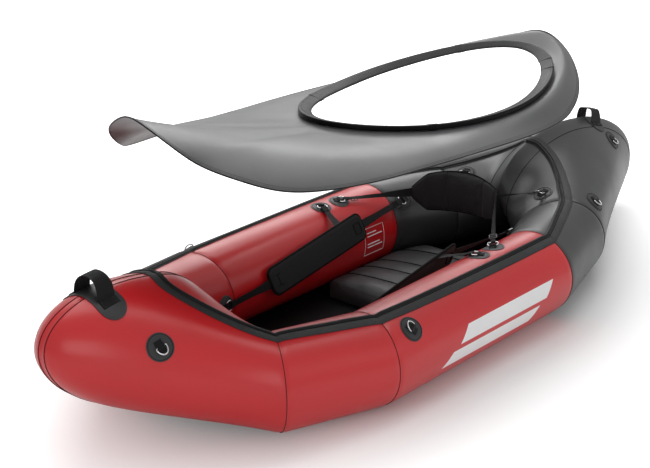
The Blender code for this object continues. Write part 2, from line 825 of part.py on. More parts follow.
def handle_patch(key, size):
    """A round-ended band laid over the end of the hull."""
    half = size["patch_half_length"]
    straight = size["patch_half_span"] - half
    ends = [straight + half * share for share in PATCH_END_SHARES]
    middle = [straight * share for share in PATCH_STRAIGHT_SHARES]
    spans = [-value for value in (middle[1:] + ends)[::-1]] + middle + ends
    rows = []
    for across in spans:
        beyond = max(abs(across) - straight, 0)
        width = sqrt(half ** 2 - beyond ** 2)
        row = []
        for share in (-1.0, -0.5, 0.0, 0.5, 1.0):
            along = size["along_share"] * HALF_LENGTH + width * share
            row.append(on_top(size["start"], size["angle"], along, across, LAY_GAP))
        rows.append(row)
    name = key + "_handle_patch"
    sheet(name, rows, PATCH_THICKNESS, 1, rows[len(rows) // 2][2].copy(), (GREY, 0.5))


def handle_webbing(key, size):
    """Webbing with two sewn feet and an arch between them."""
    lift = LAY_GAP + PATCH_THICKNESS + SEAT_GAP * 2 + HANDLE_THICKNESS / 2
    path = [(size["half_arch"] + size["foot"] * share, 0.0) for share in (1.0, 0.55, 0.1)]
    path += [(size["half_arch"] * out, up) for out, up in ARCH_SHARES]
    path += [(-out, up) for out, up in path[:-1][::-1]]
    rows = []
    for across, up in path:
        row = []
        for share in (-1.0, 0.0, 1.0):
            along = size["along_share"] * HALF_LENGTH + size["web_half_width"] * share
            point = on_top(size["start"], size["angle"], along, across, lift)
            crown = on_top(size["start"], size["angle"], along, 0, lift)
            point.z += (crown.z - point.z) * up + size["height"] * up
            row.append(point)
        rows.append(row)
    name = key + "_handle_webbing"
    sheet(name, rows, HANDLE_THICKNESS, 0, rows[0][1].copy(), (BLACK, 0.7))


# Cockpit fittings

def mat_height(share):
    """Height of the mat over its base at a share of its length, dipping at each channel."""
    first = MAT_CHANNEL_SHARES[0]
    full = MAT_STEP_HEIGHT if share < first else MAT_HEIGHT
    edges = (0.0,) + MAT_CHANNEL_SHARES + (1.0,)
    for low, high in zip(edges[:-1], edges[1:]):
        if low <= share <= high:
            swell = sin(pi * (share - low) / (high - low))
            return full - MAT_CHANNEL_DEPTH * (1 - sqrt(max(swell, 0.0)))
    return full


def make_mat():
    """The seat mat: crowned bars between cross channels, narrower where the tubes close in."""
    length = MAT_REAR - MAT_FRONT
    base = surface(len(PANEL_STEPS) / 2, -90 - 360 / TUBE_SIDES).z
    edges = (0.0,) + MAT_CHANNEL_SHARES + (1.0,)
    shares = []
    for low, high in zip(edges[:-1], edges[1:]):
        shares += [low + (high - low) * part for part in MAT_BAR_SHARES]
    shares.append(1.0)
    rows = []
    for share in shares:
        along = MAT_FRONT + length * share
        half = min(MAT_HALF_WIDTH, inner_wall(along, base + MAT_HEIGHT) - MAT_SIDE_GAP)
        top = []
        bottom = []
        for column in MAT_COLUMN_SHARES:
            bow = MAT_CHANNEL_BOW * (1 - column ** 2)
            drawn = MAT_CHANNEL_DEPTH if abs(column) == 1.0 else 0
            inside = share not in (0.0, 1.0)
            x = along + (bow if inside else 0)
            height = max(mat_height(share) - drawn, MAT_CHANNEL_DEPTH)
            top.append(Vector((x, half * column, base + height)))
            bottom.append(Vector((x, half * column, base)))
        rows.append(top + bottom[::-1])
    loft("seat_mat", rows, Vector((MAT_FRONT + length / 2, 0, base)), (MAT_GREY, 0.6), smooth=50.0)


def backrest_section(share):
    """Closed section of the backrest at a share of its span, thinner at each sewn seam."""
    panel = BACKREST_PANEL_HALF / BACKREST_HALF_SPAN
    wing = max(0.0, (abs(share) - panel) / (1 - panel))
    narrowing = wing ** BACKREST_WING_POWER
    half_height = BACKREST_HALF_HEIGHT + (BACKREST_TIP_HALF_HEIGHT - BACKREST_HALF_HEIGHT) * narrowing
    half_depth = BACKREST_HALF_THICKNESS + (BACKREST_TIP_HALF_THICKNESS - BACKREST_HALF_THICKNESS) * wing
    if abs(share) in BACKREST_SEAM_SHARES:
        half_depth *= 1 - BACKREST_SEAM_DEPTH_SHARE
    along = BACKREST_X + (BACKREST_TIP_X - BACKREST_X) * share ** 2
    across = BACKREST_HALF_SPAN * share
    return [
        Vector((along + half_depth * out, across, BACKREST_MIDDLE_Z + half_height * up))
        for out, up in BACKREST_OUTLINE_SHARES
    ]


def make_backrest():
    shares = [-share for share in BACKREST_ROW_SHARES[:0:-1]] + list(BACKREST_ROW_SHARES)
    rows = [backrest_section(share) for share in shares]
    origin = Vector((BACKREST_X, 0, BACKREST_MIDDLE_Z))
    loft("backrest", rows, origin, (BLACK, 0.7), smooth=50.0)


def pad_frame(side):
    """Axes of a thigh pad: X along it, Y through it, Z across its width."""
    front = surface(-side * PAD_FRONT_SHARES[0], PAD_FRONT_SHARES[1])
    rear = surface(-side * PAD_REAR_SHARES[0], PAD_REAR_SHARES[1])
    front.y -= side * PAD_FRONT_SPACE
    rear.y -= side * PAD_REAR_SPACE
    along = (rear - front).normalized()
    lean = Vector((0, side * sin(radians(PAD_LEAN)), cos(radians(PAD_LEAN))))
    wide = (lean - lean.dot(along) * along).normalized()
    through = wide.cross(along)
    frame = Matrix((along, through, wide)).transposed().to_4x4()
    frame.translation = front.lerp(rear, 0.5)
    return frame, (rear - front).length


def make_thigh_set(side):
    """A thigh pad with its three straps and their anchors."""
    frame, length = pad_frame(side)
    name = side_name(side)
    outline = []
    half_length = length / 2 - PAD_EDGE
    half_width = PAD_WIDTH / 2 - PAD_EDGE
    for right, up, start in ((1, 1, 0), (-1, 1, 90), (-1, -1, 180), (1, -1, 270)):
        for turn in (0, 30, 60, 90):
            swing = radians(start + turn)
            outline.append((
                right * (half_length - PAD_CORNER) + PAD_CORNER * cos(swing),
                up * (half_width - PAD_CORNER) + PAD_CORNER * sin(swing),
                0,
            ))
    pad = curve_object("thigh_pad_" + name, [outline], True)
    pad.data.fill_mode = "BOTH"
    pad.data.extrude = PAD_THICKNESS / 2 - PAD_EDGE
    pad.data.bevel_depth = PAD_EDGE
    pad.data.bevel_resolution = 1
    turn = Matrix(((1, 0, 0), (0, 0, -1), (0, 1, 0))).to_4x4()
    to_mesh(pad, frame @ turn, "thigh_pad_" + name, (BLACK, 0.7))
    along = frame.to_3x3() @ Vector((1, 0, 0))
    wide = frame.to_3x3() @ Vector((0, 0, 1))
    front = frame @ Vector((-length / 2 - WEB_END_GAP, 0, 0))
    rear = frame @ Vector((length / 2 + WEB_END_GAP, 0, 0))
    top_place = length * (PAD_TOP_STRAP_SHARE - 1 / 2)
    top = frame @ Vector((top_place, 0, PAD_WIDTH / 2 + WEB_END_GAP))
    for key, start, edge in (("front", front, wide), ("pad_top", top, along), ("pad_rear", rear, wide)):
        bar, axis = make_inner_anchor(key, side, start)
        make_strap("thigh_strap_" + key.replace("pad_", "") + "_" + name,
                   start, edge, PAD_STRAP_WIDTH, WEB_WIDTH, bar, axis)


def make_backrest_straps(side):
    name = side_name(side)
    tip = Vector((BACKREST_TIP_X, side * (BACKREST_HALF_SPAN + WEB_END_GAP), BACKREST_MIDDLE_Z))
    bar, axis = make_inner_anchor("backrest_side", side, tip)
    make_strap("backrest_strap_side_" + name, tip, Vector((0, 0, 1)),
               SIDE_STRAP_WIDTH, NARROW_WEB_WIDTH, bar, axis)
    share = BACKREST_STRAP_Y / BACKREST_HALF_SPAN
    along = BACKREST_X + (BACKREST_TIP_X - BACKREST_X) * share ** 2
    rear_face = along + BACKREST_HALF_THICKNESS + WEB_END_GAP
    start = Vector((rear_face, side * BACKREST_STRAP_Y, BACKREST_STRAP_Z))
    bar, axis = make_inner_anchor("backrest_rear", side, start)
    make_strap("backrest_strap_rear_" + name, start, Vector((0, 0, 1)),
               THIN_WEB_WIDTH, THIN_WEB_WIDTH, bar, axis)


# Deck

def hole_point(turn):
    """A point of the cockpit hole's lower inner edge, and the way out from it."""
    def level(angle):
        across = abs(cos(angle)) ** HOLE_POWER + abs(sin(angle)) ** HOLE_POWER
        reach = across ** (-1 / HOLE_POWER)
        length = HOLE_REAR if cos(angle) > 0 else HOLE_FRONT
        return Vector((
            HOLE_CENTRE_X + length * cos(angle) * reach, HOLE_HALF_WIDTH * sin(angle) * reach, 0,
        ))

    point = level(turn)
    ahead = level(turn + radians(1)) - level(turn - radians(1))
    outward = Vector((ahead.y, -ahead.x, 0)).normalized()
    along = point.x - HOLE_CENTRE_X
    point.z = HOLE_HEIGHT + HOLE_SLOPE_SHARE * along + HOLE_RISE_SHARE * along ** 2 / HOLE_FRONT
    return point, outward


def make_coaming():
    """The stiffened lip: it slopes up outward from the hole to a square outer edge."""
    profile = (
        (0.0, -COAMING_DROP),
        (COAMING_WIDTH + COAMING_EDGE, -COAMING_DROP),
        (COAMING_WIDTH + COAMING_EDGE, COAMING_RISE - COAMING_EDGE),
        (COAMING_WIDTH, COAMING_RISE),
        (COAMING_WIDTH - COAMING_EDGE, COAMING_RISE),
        (0.0, COAMING_EDGE / 2),
    )
    rows = []
    for segment in range(COAMING_SEGMENTS):
        point, outward = hole_point(2 * pi * segment / COAMING_SEGMENTS)
        row = [point + outward * out + Vector((0, 0, up)) for out, up in profile]
        rows.append(row)
    origin = Vector((HOLE_CENTRE_X, 0, HOLE_HEIGHT))
    return loft("coaming_rim", rows, origin, (BLACK, 0.45), True, 30.0)


def deck_edge(place):
    """The deck's outer edge: the strip's route, lifted, rounded and curled up at the bow."""
    spread = DECK_ROUNDING_SHARE * min(1, abs(place), len(PANEL_STEPS) - abs(place))
    point = Vector((0, 0, DECK_LIFT))
    for step in (-1, -0.5, 0, 0.5, 1):
        point += strip_point(place + step * spread, 0, STRIP_LIFT + STRIP_THICKNESS) / 5
    port = abs(place)
    side = 1 if place < 0 else -1
    point.x += blend(DECK_EDGE_SHARES, port, 1) * DECK_CURL
    point.y += side * blend(DECK_EDGE_SHARES, port, 2) * DECK_CURL
    point.z += blend(DECK_EDGE_SHARES, port, 3) * DECK_CURL
    return point


def deck_row(place):
    """Points of the deck's cloth from under the coaming to one place of its edge."""
    from_stern = blend(DECK_TURN_SHARES, abs(place))
    start, outward = hole_point(radians(from_stern if place < 0 else -from_stern))
    tuck = COAMING_WIDTH + COAMING_EDGE - DECK_TUCK
    start = start + outward * tuck - Vector((0, 0, COAMING_DROP + LAY_GAP + DECK_THICKNESS))
    first = start + outward * DECK_TUCK
    end = deck_edge(place)
    width = (end - first).length
    level = Vector((end.x - first.x, end.y - first.y, 0)).normalized()
    leave_out, leave_up, meet_out, meet_down = [
        blend(DECK_SLOPE_SHARES, abs(place), column) for column in (1, 2, 3, 4)
    ]
    leaving = (outward * leave_out + Vector((0, 0, leave_up))) * width
    arriving = (level * meet_out - Vector((0, 0, meet_down))) * width
    row = [start]
    for step in range(DECK_STEPS + 1):
        row.append(hermite(first, end, leaving, arriving, step / DECK_STEPS))
    return row


def make_deck_skin():
    """The deck's cloth, from under the coaming out and down to its edge."""
    starboard = [-place for place in DECK_PLACE_SHARES[1:-1]]
    places = list(DECK_PLACE_SHARES) + starboard[::-1]
    rows = [deck_row(place) for place in places]
    origin = Vector((HOLE_CENTRE_X, 0, HOLE_HEIGHT))
    return sheet("deck_skin", rows, DECK_THICKNESS, 1, origin, (DECK_GREY, 0.4), True)


def make_deck():
    """Both deck pieces ride on one empty, so that the deck lifts off as a whole."""
    carrier = bpy.data.objects.new("deck_carrier", None)
    carrier.location = (HOLE_CENTRE_X, 0, HOLE_HEIGHT)
    RAFT.objects.link(carrier)
    for item in (make_coaming(), make_deck_skin()):
        item.parent = carrier
        item.location = (0, 0, 0)


# Valve

def make_valve():
    place, angle = VALVE_SHARES
    frame = hull_frame(place, angle, Vector((0, 0, 1)))
    body = patch_disc("valve_body", place, angle, frame, VALVE_PATCH_RADIUS, (BLACK, 0.5))
    work = bmesh.new()
    bmesh.ops.create_cone(work, cap_ends=True, segments=20, radius1=VALVE_NECK_RADIUS,
                          radius2=VALVE_NECK_RADIUS, depth=VALVE_NECK_HEIGHT)
    mesh = bpy.data.meshes.new("valve_neck")
    work.to_mesh(mesh)
    work.free()
    neck = bpy.data.objects.new("valve_neck", mesh)
    foot = LAY_GAP + PATCH_THICKNESS / 2
    neck.matrix_world = frame @ Matrix.Translation((0, 0, foot + VALVE_NECK_HEIGHT / 2))
    link(neck, "valve_neck", BLACK, 0.5)
    boolean(body, as_helper(neck), "UNION")
    inner = VALVE_NECK_RADIUS + SEAT_GAP
    outer = inner + VALVE_CAP_WALL
    low = LAY_GAP + PATCH_THICKNESS + SEAT_GAP
    ledge = foot + VALVE_NECK_HEIGHT + SEAT_GAP
    high = low + VALVE_CAP_HEIGHT
    profile = [(0, high), (outer - VALVE_CAP_WALL / 3, high), (outer, high - VALVE_CAP_WALL / 3),
               (outer, low), (inner, low), (inner, ledge), (0, ledge)]
    mesh = bpy.data.meshes.new("valve_cap")
    mesh.from_pydata([(x, 0, z) for x, z in profile], [(i, i + 1) for i in range(len(profile) - 1)], [])
    cap = bpy.data.objects.new("valve_cap", mesh)
    cap.matrix_world = frame
    link(cap, "valve_cap", BLACK, 0.4)
    turn = cap.modifiers.new("Turn", "SCREW")
    turn.steps = 24
    turn.render_steps = 24
    turn.use_merge_vertices = True
    turn.merge_threshold = SEAM_GAP / 10


def build():
    make_hull()
    make_floor()
    make_strip()
    for side in (-1, 1):
        for key in OUTER_ANCHOR_SHARES:
            make_outer_anchor(key, side)
        make_thigh_set(side)
        make_backrest_straps(side)
    for key, size in HANDLES.items():
        handle_patch(key, size)
        handle_webbing(key, size)
    make_mat()
    make_backrest()
    make_deck()
    make_valve()


build()
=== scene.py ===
import json
from math import atan2, cos, exp, pi, radians, sin, sqrt

import bmesh
import bpy
from mathutils import Matrix, Vector
from mathutils.bvhtree import BVHTree

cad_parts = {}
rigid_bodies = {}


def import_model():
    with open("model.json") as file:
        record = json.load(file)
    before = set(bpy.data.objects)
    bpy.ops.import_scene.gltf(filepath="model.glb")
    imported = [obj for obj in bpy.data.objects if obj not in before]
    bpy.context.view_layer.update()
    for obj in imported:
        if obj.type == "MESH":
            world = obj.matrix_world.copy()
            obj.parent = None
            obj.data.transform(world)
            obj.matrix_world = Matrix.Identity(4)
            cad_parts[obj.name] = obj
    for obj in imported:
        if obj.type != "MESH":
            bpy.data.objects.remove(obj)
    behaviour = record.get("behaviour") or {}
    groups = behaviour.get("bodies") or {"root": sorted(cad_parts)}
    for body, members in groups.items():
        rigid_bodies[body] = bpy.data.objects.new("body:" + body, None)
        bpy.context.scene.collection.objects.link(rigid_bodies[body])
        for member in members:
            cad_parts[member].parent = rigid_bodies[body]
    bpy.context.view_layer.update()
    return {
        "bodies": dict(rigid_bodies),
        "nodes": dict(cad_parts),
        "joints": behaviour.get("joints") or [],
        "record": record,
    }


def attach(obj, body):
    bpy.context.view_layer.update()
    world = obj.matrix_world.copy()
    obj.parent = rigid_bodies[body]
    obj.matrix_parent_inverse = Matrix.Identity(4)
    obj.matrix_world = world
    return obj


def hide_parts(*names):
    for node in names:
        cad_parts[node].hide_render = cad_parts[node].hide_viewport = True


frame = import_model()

UP = Vector((0, 0, 1))

# Hull
HALF_LENGTH = 1.398
HALF_BEAM = 0.472
TUBE_RADIUS = 0.135
PANEL_NAMES = ("bow", "shoulder", "side", "quarter", "stern")
PANELS = len(PANEL_NAMES)
STATION_SHARES = (
    (-0.741, 0.000, 1.985, 2.770, 1.444, 1.311, -90.0, 16.0),
    (-0.619, 0.595, 1.222, 0.889, 1.007, 1.000, -33.0, 0.0),
    (-0.392, 0.720, 1.000, 0.963, 1.037, 1.000, -11.0, 0.0),
    (0.185, 0.703, 1.000, 1.052, 0.978, 1.000, 3.5, 0.0),
    (0.396, 0.540, 1.020, 1.000, 1.222, 1.000, 30.0, 8.0),
    (0.685, 0.000, 1.500, 3.275, 3.111, 1.459, 90.0, -6.7),
)
SIDE_START = STATION_SHARES[2][0] * HALF_LENGTH
SIDE_END = STATION_SHARES[3][0] * HALF_LENGTH
BOW_PULL_SHARES = (0.57, 0.98)
BOW_HEADING = (-50.0, -13.8)
STERN_PULL_SHARES = (0.95, 0.12)
STERN_HEADING = (29.0, 9.5)
SKIN_ROW_SPACE = 0.022
SKIN_ANGLES = [360 * step / 96 for step in range(96)]
SEAM_ROWS = (0.0, 0.003, 0.006, 0.010, 0.016, 0.026)
SEAM_PINCH = 0.0022
SEAM_WIDTH = 0.009
SEAM_BEAD = 0.0009
BOW_TAPE_HALF = 0.011
STERN_PANEL_HALF = 0.043
FLOOR_PLACES = (0.36, 4.70)
FLOOR_ROWS = 90
FLOOR_COLUMNS = 24
FLOOR_ANGLE = -102.0
FLOOR_RISE = 0.0015
FLOOR_DROP = 0.0015
FLOOR_THICKNESS = 0.0012

# Attachment strip
STRIP_HALF_WIDTH = 0.022
STRIP_LIFT = 0.0019
STRIP_THICKNESS = 0.003
STRIP_TOP = 0.0040
STRIP_ROWS_PER_PANEL = 44
STRIP_ANGLE_SHARES = (
    (0, 84), (0.3, 79), (0.6, 80), (1, 86), (1.5, 82), (2, 77), (2.2, 73), (3, 68),
    (3.4, 72), (4, 82), (4.2, 91), (4.4, 102), (4.7, 119), (5, 129),
)
STRIP_PROFILE = (
    (-0.022, 0.0004), (-0.022, 0.0016), (-0.019, 0.0026), (-0.012, 0.0036), (0, 0.0040),
    (0.008, 0.0036), (0.013, 0.0030), (0.019, 0.0026), (0.022, 0.0016), (0.022, 0.0004),
    (0.010, 0.0002), (0, 0.0002), (-0.010, 0.0002),
)
STRIP_GROOVE = 0.004
ZIP_OFFSET = 0.013
ZIP_RADIUS = 0.0060
ZIP_FLATNESS = 0.55
ZIP_TEETH_SHARE = 0.62

# Anchors
TIE_PATCH_RADIUS = 0.037
PATCH_RADIUS = 0.034
PATCH_THICKNESS = 0.0012
PATCH_BEVEL = 0.0012
PATCH_RINGS = 6
PATCH_SIDES = 40
LAY_GAP = 0.0008
PATCH_TOP = LAY_GAP + PATCH_THICKNESS
TAB_HALF_WIDTH = 0.011
TAB_WALL = 0.0015
TAB_FEET = ((0.018, 0.0), (0.013, 0.0), (0.009, 0.0004))
TAB_BOX = ((-0.8, 0.011), (0.8, 0.011), (0.8, 0.0165), (-0.8, 0.0165))
WIRE_RADIUS = 0.002
BORE_CLEARANCE = 0.0004
BAR_HEIGHT = PATCH_TOP + TAB_WALL + WIRE_RADIUS + BORE_CLEARANCE
D_RING_HALF_WIDTH = 0.015
D_RING_DEPTH = 0.022
LINK_HALF_WIDTH = 0.016
LINK_DEPTH = 0.018
LINK_CORNER = 0.004
OUTER_ANCHOR_SHARES = {
    "bow": (0.51, 27.0, (0.3, 0.0, -1.0), 14.0),
    "middle": (2.10, 45.5, (-0.4, 0.0, 1.0), 16.0),
    "stern_low": (4.09, 40.0, (-0.2, 0.0, -1.0), 12.0),
    "stern_high": (4.64, 46.0, (0.2, 0.0, -1.0), 12.0),
}
INNER_ANCHOR_SHARES = {
    "front": (1.83, 180.0),
    "pad_top": (2.667, 100.0),
    "backrest_side": (2.77, 102.0),
    "pad_rear": (3.2, 135.0),
    "backrest_rear": (4.15, 112.0),
}

# Webbing
WEB_THICKNESS = 0.0012
WEB_WIDTH = 0.020
WEB_TAIL = 0.022
WEB_WRAP_GAP = 0.0006
WEB_STEPS = 14
NARROW_WEB_WIDTH = 0.014
THIN_WEB_WIDTH = 0.010
SIDE_STRAP_WIDTH = 0.030
PAD_STRAP_WIDTH = 0.030
BUCKLE_HALF_LENGTH = 0.010
BUCKLE_WIRE = 0.0013
BUCKLE_LIFT = 0.0022
BUCKLE_MARGIN = 0.004
HANDLE_THICKNESS = 0.0018
HANDLE_NARROWING = 0.30
HANDLES = {
    "bow": {
        "along": -1.221, "patch_half_length": 0.040, "patch_half_span": 0.100,
        "web_half_width": 0.026, "foot": 0.022, "half_arch": 0.046, "height": 0.043,
        "arch": ((1.0, 0.10), (0.93, 0.42), (0.72, 0.76), (0.40, 0.95), (0.0, 1.0)),
        "angle": 52.0, "start": 0.2,
    },
    "stern": {
        "along": 1.090, "patch_half_length": 0.042, "patch_half_span": 0.060,
        "web_half_width": 0.030, "foot": 0.010, "half_arch": 0.031, "height": 0.030,
        "arch": ((1.0, 0.22), (0.88, 0.72), (0.74, 0.96), (0.40, 1.0), (0.0, 1.0)),
        "angle": 69.0, "start": 4.8,
    },
}

# Seat mat
MAT_FRONT = -0.085
MAT_REAR = 0.360
MAT_LENGTH = MAT_REAR - MAT_FRONT
MAT_HALF_WIDTH = 0.235
MAT_HEIGHT = 0.070
MAT_SIDE_GAP = 0.004
MAT_EDGE_SHARE = 0.72
MAT_CHANNEL_SHARES = (0.169, 0.344, 0.503, 0.769)
MAT_CHANNEL_DEPTH = 0.008
MAT_CHANNEL_BOW = 0.080
MAT_LINE = 0.0022
MAT_LINE_LIFT = 0.0002
MAT_ROWS = 96
MAT_COLUMNS = 36
MAT_FLOOR_GAP = 0.0008

# Backrest
BACKREST_X = 0.325
BACKREST_TIP_X = 0.280
BACKREST_HALF_SPAN = 0.166
BACKREST_PANEL_HALF = 0.116
BACKREST_MIDDLE_Z = 0.302
BACKREST_SAG = 0.008
BACKREST_ROLL_SHARE = 0.11
BACKREST_HALF_HEIGHT = 0.068
BACKREST_SIDE_HALF_HEIGHT = 0.062
BACKREST_TIP_HALF_HEIGHT = 0.016
BACKREST_PORT_TIP_HALF_HEIGHT = 0.050
BACKREST_HALF_THICKNESS = 0.013
BACKREST_TIP_HALF_THICKNESS = 0.007
BACKREST_SEAM_SHARES = (0.30, 0.69, -0.62)
BACKREST_SEAM_DEPTH_SHARE = 0.55
BACKREST_SEAM_WIDTH_SHARE = 0.02
BACKREST_WING_POWER = 1.2
BACKREST_STRAP_Y = 0.095
BACKREST_ROWS = 84
BACKREST_SIDES = 28
BINDING_RADIUS = 0.0022

# Thigh pads
PAD_FRONT_SHARES = (2.18, 171.0)
PAD_REAR_SHARES = (2.73, 138.0)
PAD_FRONT_SPACE = 0.020
PAD_REAR_SPACE = 0.054
PAD_WIDTH = 0.085
PAD_THICKNESS = 0.012
PAD_LEAN = 20.0
PAD_CORNER = PAD_WIDTH * 0.24
PAD_SECTION = ((-0.5, 0.006), (-0.46, 0.002), (-0.3, 0.0), (0.3, 0.0), (0.46, 0.002), (0.5, 0.006))
PAD_TOP_STRAP_SHARE = 0.78
PAD_OVERLAP = 0.004
PAD_WINDOW_INSET = 0.030
PAD_WINDOW = (0.013, 0.017)
PAD_BAR = (0.010, 0.017)
PAD_LINE = 0.0011

# Deck
DECK_LIFT = 0.380
DECK_THICKNESS = 0.0010
DECK_CURL = 0.055
DECK_ROUNDING_SHARE = 0.3
DECK_EDGE_SHARES = (
    (0, -1.0, 0.0, 0.98), (0.25, -0.29, 0.85, 0.15), (0.5, 0.30, 0.38, -0.30),
    (0.75, 0.50, 0.05, -0.06), (1, 0.0, 0.0, 0.0), (2.4, 0.0, 0.0, 0.0),
    (3, 0.0, 0.05, -0.22), (3.4, 0.05, 0.25, -0.22), (3.8, 0.15, 0.40, -0.05),
    (4.2, 0.35, 0.40, 0.05), (4.6, 0.40, 0.30, -0.05), (5, 0.75, 0.0, -0.15),
)
DECK_TURN_SHARES = (
    (0, 180), (0.25, 176.5), (0.5, 173), (0.75, 169), (1, 165), (1.3, 160), (2.05, 140),
    (2.55, 115), (3, 92), (3.6, 70), (4.15, 45), (4.6, 20), (5, 0),
)
DECK_SLOPE_SHARES = (
    (0, 0.90, 0.12, 0.90, -0.36), (0.25, 0.90, 0.08, 0.90, -0.15), (0.5, 0.85, 0.05, 0.85, 0.20),
    (1, 0.90, 0.0, 0.80, 0.45), (2, 0.95, 0.0, 0.85, 0.35), (3, 0.95, 0.0, 0.80, 0.40),
    (3.6, 0.90, 0.20, 0.70, 0.55), (4.2, 0.90, 0.30, 0.70, 0.60), (5, 0.80, 0.15, 0.80, 0.40),
)
DECK_ROWS_PER_PANEL = 26
DECK_STEPS = 26
DECK_HEM = 0.012
DECK_HEM_THICKNESS = 0.0016
DECK_EASING_ROUNDS = 60
DECK_EASED = (0.35, 2.1)
DECK_LOW = (2.2, 4.4)
DECK_LOW_DROP = 0.014
DECK_BOW_PULL = 0.05
DECK_STERN_PULL = 0.5
DECK_STERN_REACH = 1.1
DECK_TUCK = 0.014
HOLE_CENTRE_X = 0.185
HOLE_FRONT = 0.526
HOLE_REAR = 0.433
HOLE_HALF_WIDTH = 0.259
HOLE_POWER = 1.85
HOLE_HEIGHT = 0.670
HOLE_SLOPE = 0.041
HOLE_RISE = 0.187
COAMING_WIDTH = 0.036
COAMING_RISE = 0.014
COAMING_EDGE = 0.004
COAMING_DROP = 0.003
COAMING_SEGMENTS = 220
COAMING_SEAM_INSET = 0.006
COAMING_JOINT_TURNS = (38.0, -28.0, -40.0, 128.0, -128.0)
COAMING_JOINT_HALF = 0.011
COAMING_JOINT_GROWTH = (1.04, 1.14)

# Valve
VALVE_SHARES = (-3.5, 20.0)
VALVE_PATCH_RADIUS = 0.032
VALVE_NECK_RADIUS = 0.016
VALVE_NECK_HEIGHT = 0.010
VALVE_CAP_WALL = 0.003
VALVE_CAP_HEIGHT = 0.014
VALVE_GRIP_DEPTH = 0.0007
SEAT_GAP = 0.0004

# Stitching
EDGE_INSET = 0.0035
STITCH_RADIUS = 0.00035
TOOTH_RADIUS = 0.0011
RUN_SIZES = {
    "bead": {},
    "stitches": {"Spacing": 0.0047, "Length": 0.0032},
    "teeth": {"Spacing": 0.005, "Length": 0.0060, "Crosswise": 1.0},
}

# Stripes on the sides: lowest and highest angle, start and end along the hull
STRIPES = ((-25.0, -7.0, -0.34, 0.07), (-1.0, 19.0, -0.27, 0.14))
STRIPE_SLANT = 0.040
STRIPE_THICKNESS = 0.0004
# Label on the starboard tube's inner side
LABEL_X = (0.085, 0.185)
LABEL_ANGLES = (197.0, 158.0)
LABEL_LINE = 0.0009
LABEL_BARS = ((0.30, 0.12, 0.88), (0.42, 0.12, 0.74), (0.70, 0.12, 0.88), (0.82, 0.12, 0.60))

# View and light: a panel has its place, its aim, its size and its power
VIEW_PLACE = Vector((-3.4392, -2.6942, 1.9744))
VIEW_YAW = 41.06
VIEW_PITCH = 21.54
LENS = 83.69
GROUND = 14.0
GROUND_LENGTH = 1.9
GROUND_WIDTH = 1.25
GROUND_FADE = (0.42, 1.0)
GROUND_GLOW = 0.02
ROOM_LIGHT = 0.50
PANEL_LIGHTS = {
    "sky_panel": ((0.7, 0.7, 3.7), (0, 0, 0.2), (4.5, 3.5), 85.0),
    "back_panel": ((2.6, 3.0, 2.5), (0, 0, 0.3), (4.0, 1.6), 55.0),
    "front_panel": ((-3.4, -3.0, 1.6), (0, 0, 0.2), (3.0, 2.0), 22.0),
    "side_panel": ((1.5, -4.2, 1.8), (0.2, 0, 0.2), (3.0, 1.6), 5.0),
}

# Steps of slopes and searches on the hull
PLACE_STEP = 0.002
ANGLE_STEP = 0.2
SEARCH_ROUNDS = 7
WALL_START = (2.7, 205.0)


# Numbers and curves

def cosine(degrees):
    return cos(radians(degrees))


def sine(degrees):
    return sin(radians(degrees))


def turns(count):
    return [2 * pi * step / count for step in range(count)]


def spread(start, end, count):
    """Even values from start to end."""
    return [start + (end - start) * step / count for step in range(count + 1)]


def swell(place, start, end):
    """Rises from nothing at the start to one in the middle and falls back at the end."""
    return sin(pi * (place - start) / (end - start)) if start < place < end else 0.0


def hermite(start, end, leaving, arriving, part):
    return (
        (2 * part ** 3 - 3 * part ** 2 + 1) * start
        + (part ** 3 - 2 * part ** 2 + part) * leaving
        + (3 * part ** 2 - 2 * part ** 3) * end
        + (part ** 3 - part ** 2) * arriving
    )


def blend(table, place, column=1):
    """A value of a table at a place, by a smooth curve through its rows."""
    places = [row[0] for row in table]
    values = [row[column] for row in table]
    rates = [(beyond[column] - before[column]) / (beyond[0] - before[0])
             for before, beyond in zip(table, table[1:])]
    slopes = [0.0] + [(before + beyond) / 2 for before, beyond in zip(rates, rates[1:])] + [0.0]
    spot = min(max(place, places[0]), places[-1])
    index = sum(spot > stop for stop in places[1:-1])
    span = places[index + 1] - places[index]
    return hermite(values[index], values[index + 1], span * slopes[index],
                   span * slopes[index + 1], (spot - places[index]) / span)


def axes_at(place, along, across, up):
    made = Matrix((along, across, up)).transposed().to_4x4()
    made.translation = place
    return made


def side_name(side):
    return "port" if side < 0 else "starboard"


# Hull surface

def heading(degrees, rise):
    return Vector((cosine(degrees) * cosine(rise), sine(degrees) * cosine(rise), sine(rise)))


def station_point(index, angle):
    along, across, height, out, inward, up, turn, tilt = STATION_SHARES[index]
    centre = Vector((along * HALF_LENGTH, -across * HALF_BEAM, height * TUBE_RADIUS))
    level = Vector((sine(turn), -cosine(turn), 0))
    outward = cosine(tilt) * level + sine(tilt) * UP
    upward = cosine(tilt) * UP - sine(tilt) * level
    reach = (out if cosine(angle) >= 0 else inward) * TUBE_RADIUS * cosine(angle)
    return centre + reach * outward + up * TUBE_RADIUS * sine(angle) * upward


def port_surface(place, angle):
    index = min(int(place), PANELS - 1)
    start = station_point(index, angle)
    end = station_point(index + 1, angle)
    chord = (end - start).length
    if index == 0:
        leaving = Vector((0, -1, 0)) * chord * BOW_PULL_SHARES[0]
        arriving = heading(*BOW_HEADING) * chord * BOW_PULL_SHARES[1]
    elif index == PANELS - 1:
        leaving = heading(*STERN_HEADING) * chord * STERN_PULL_SHARES[0]
        arriving = Vector((0, 1, 0)) * chord * STERN_PULL_SHARES[1]
    else:
        return start.lerp(end, place - index)
    return hermite(start, end, leaving, arriving, place - index)


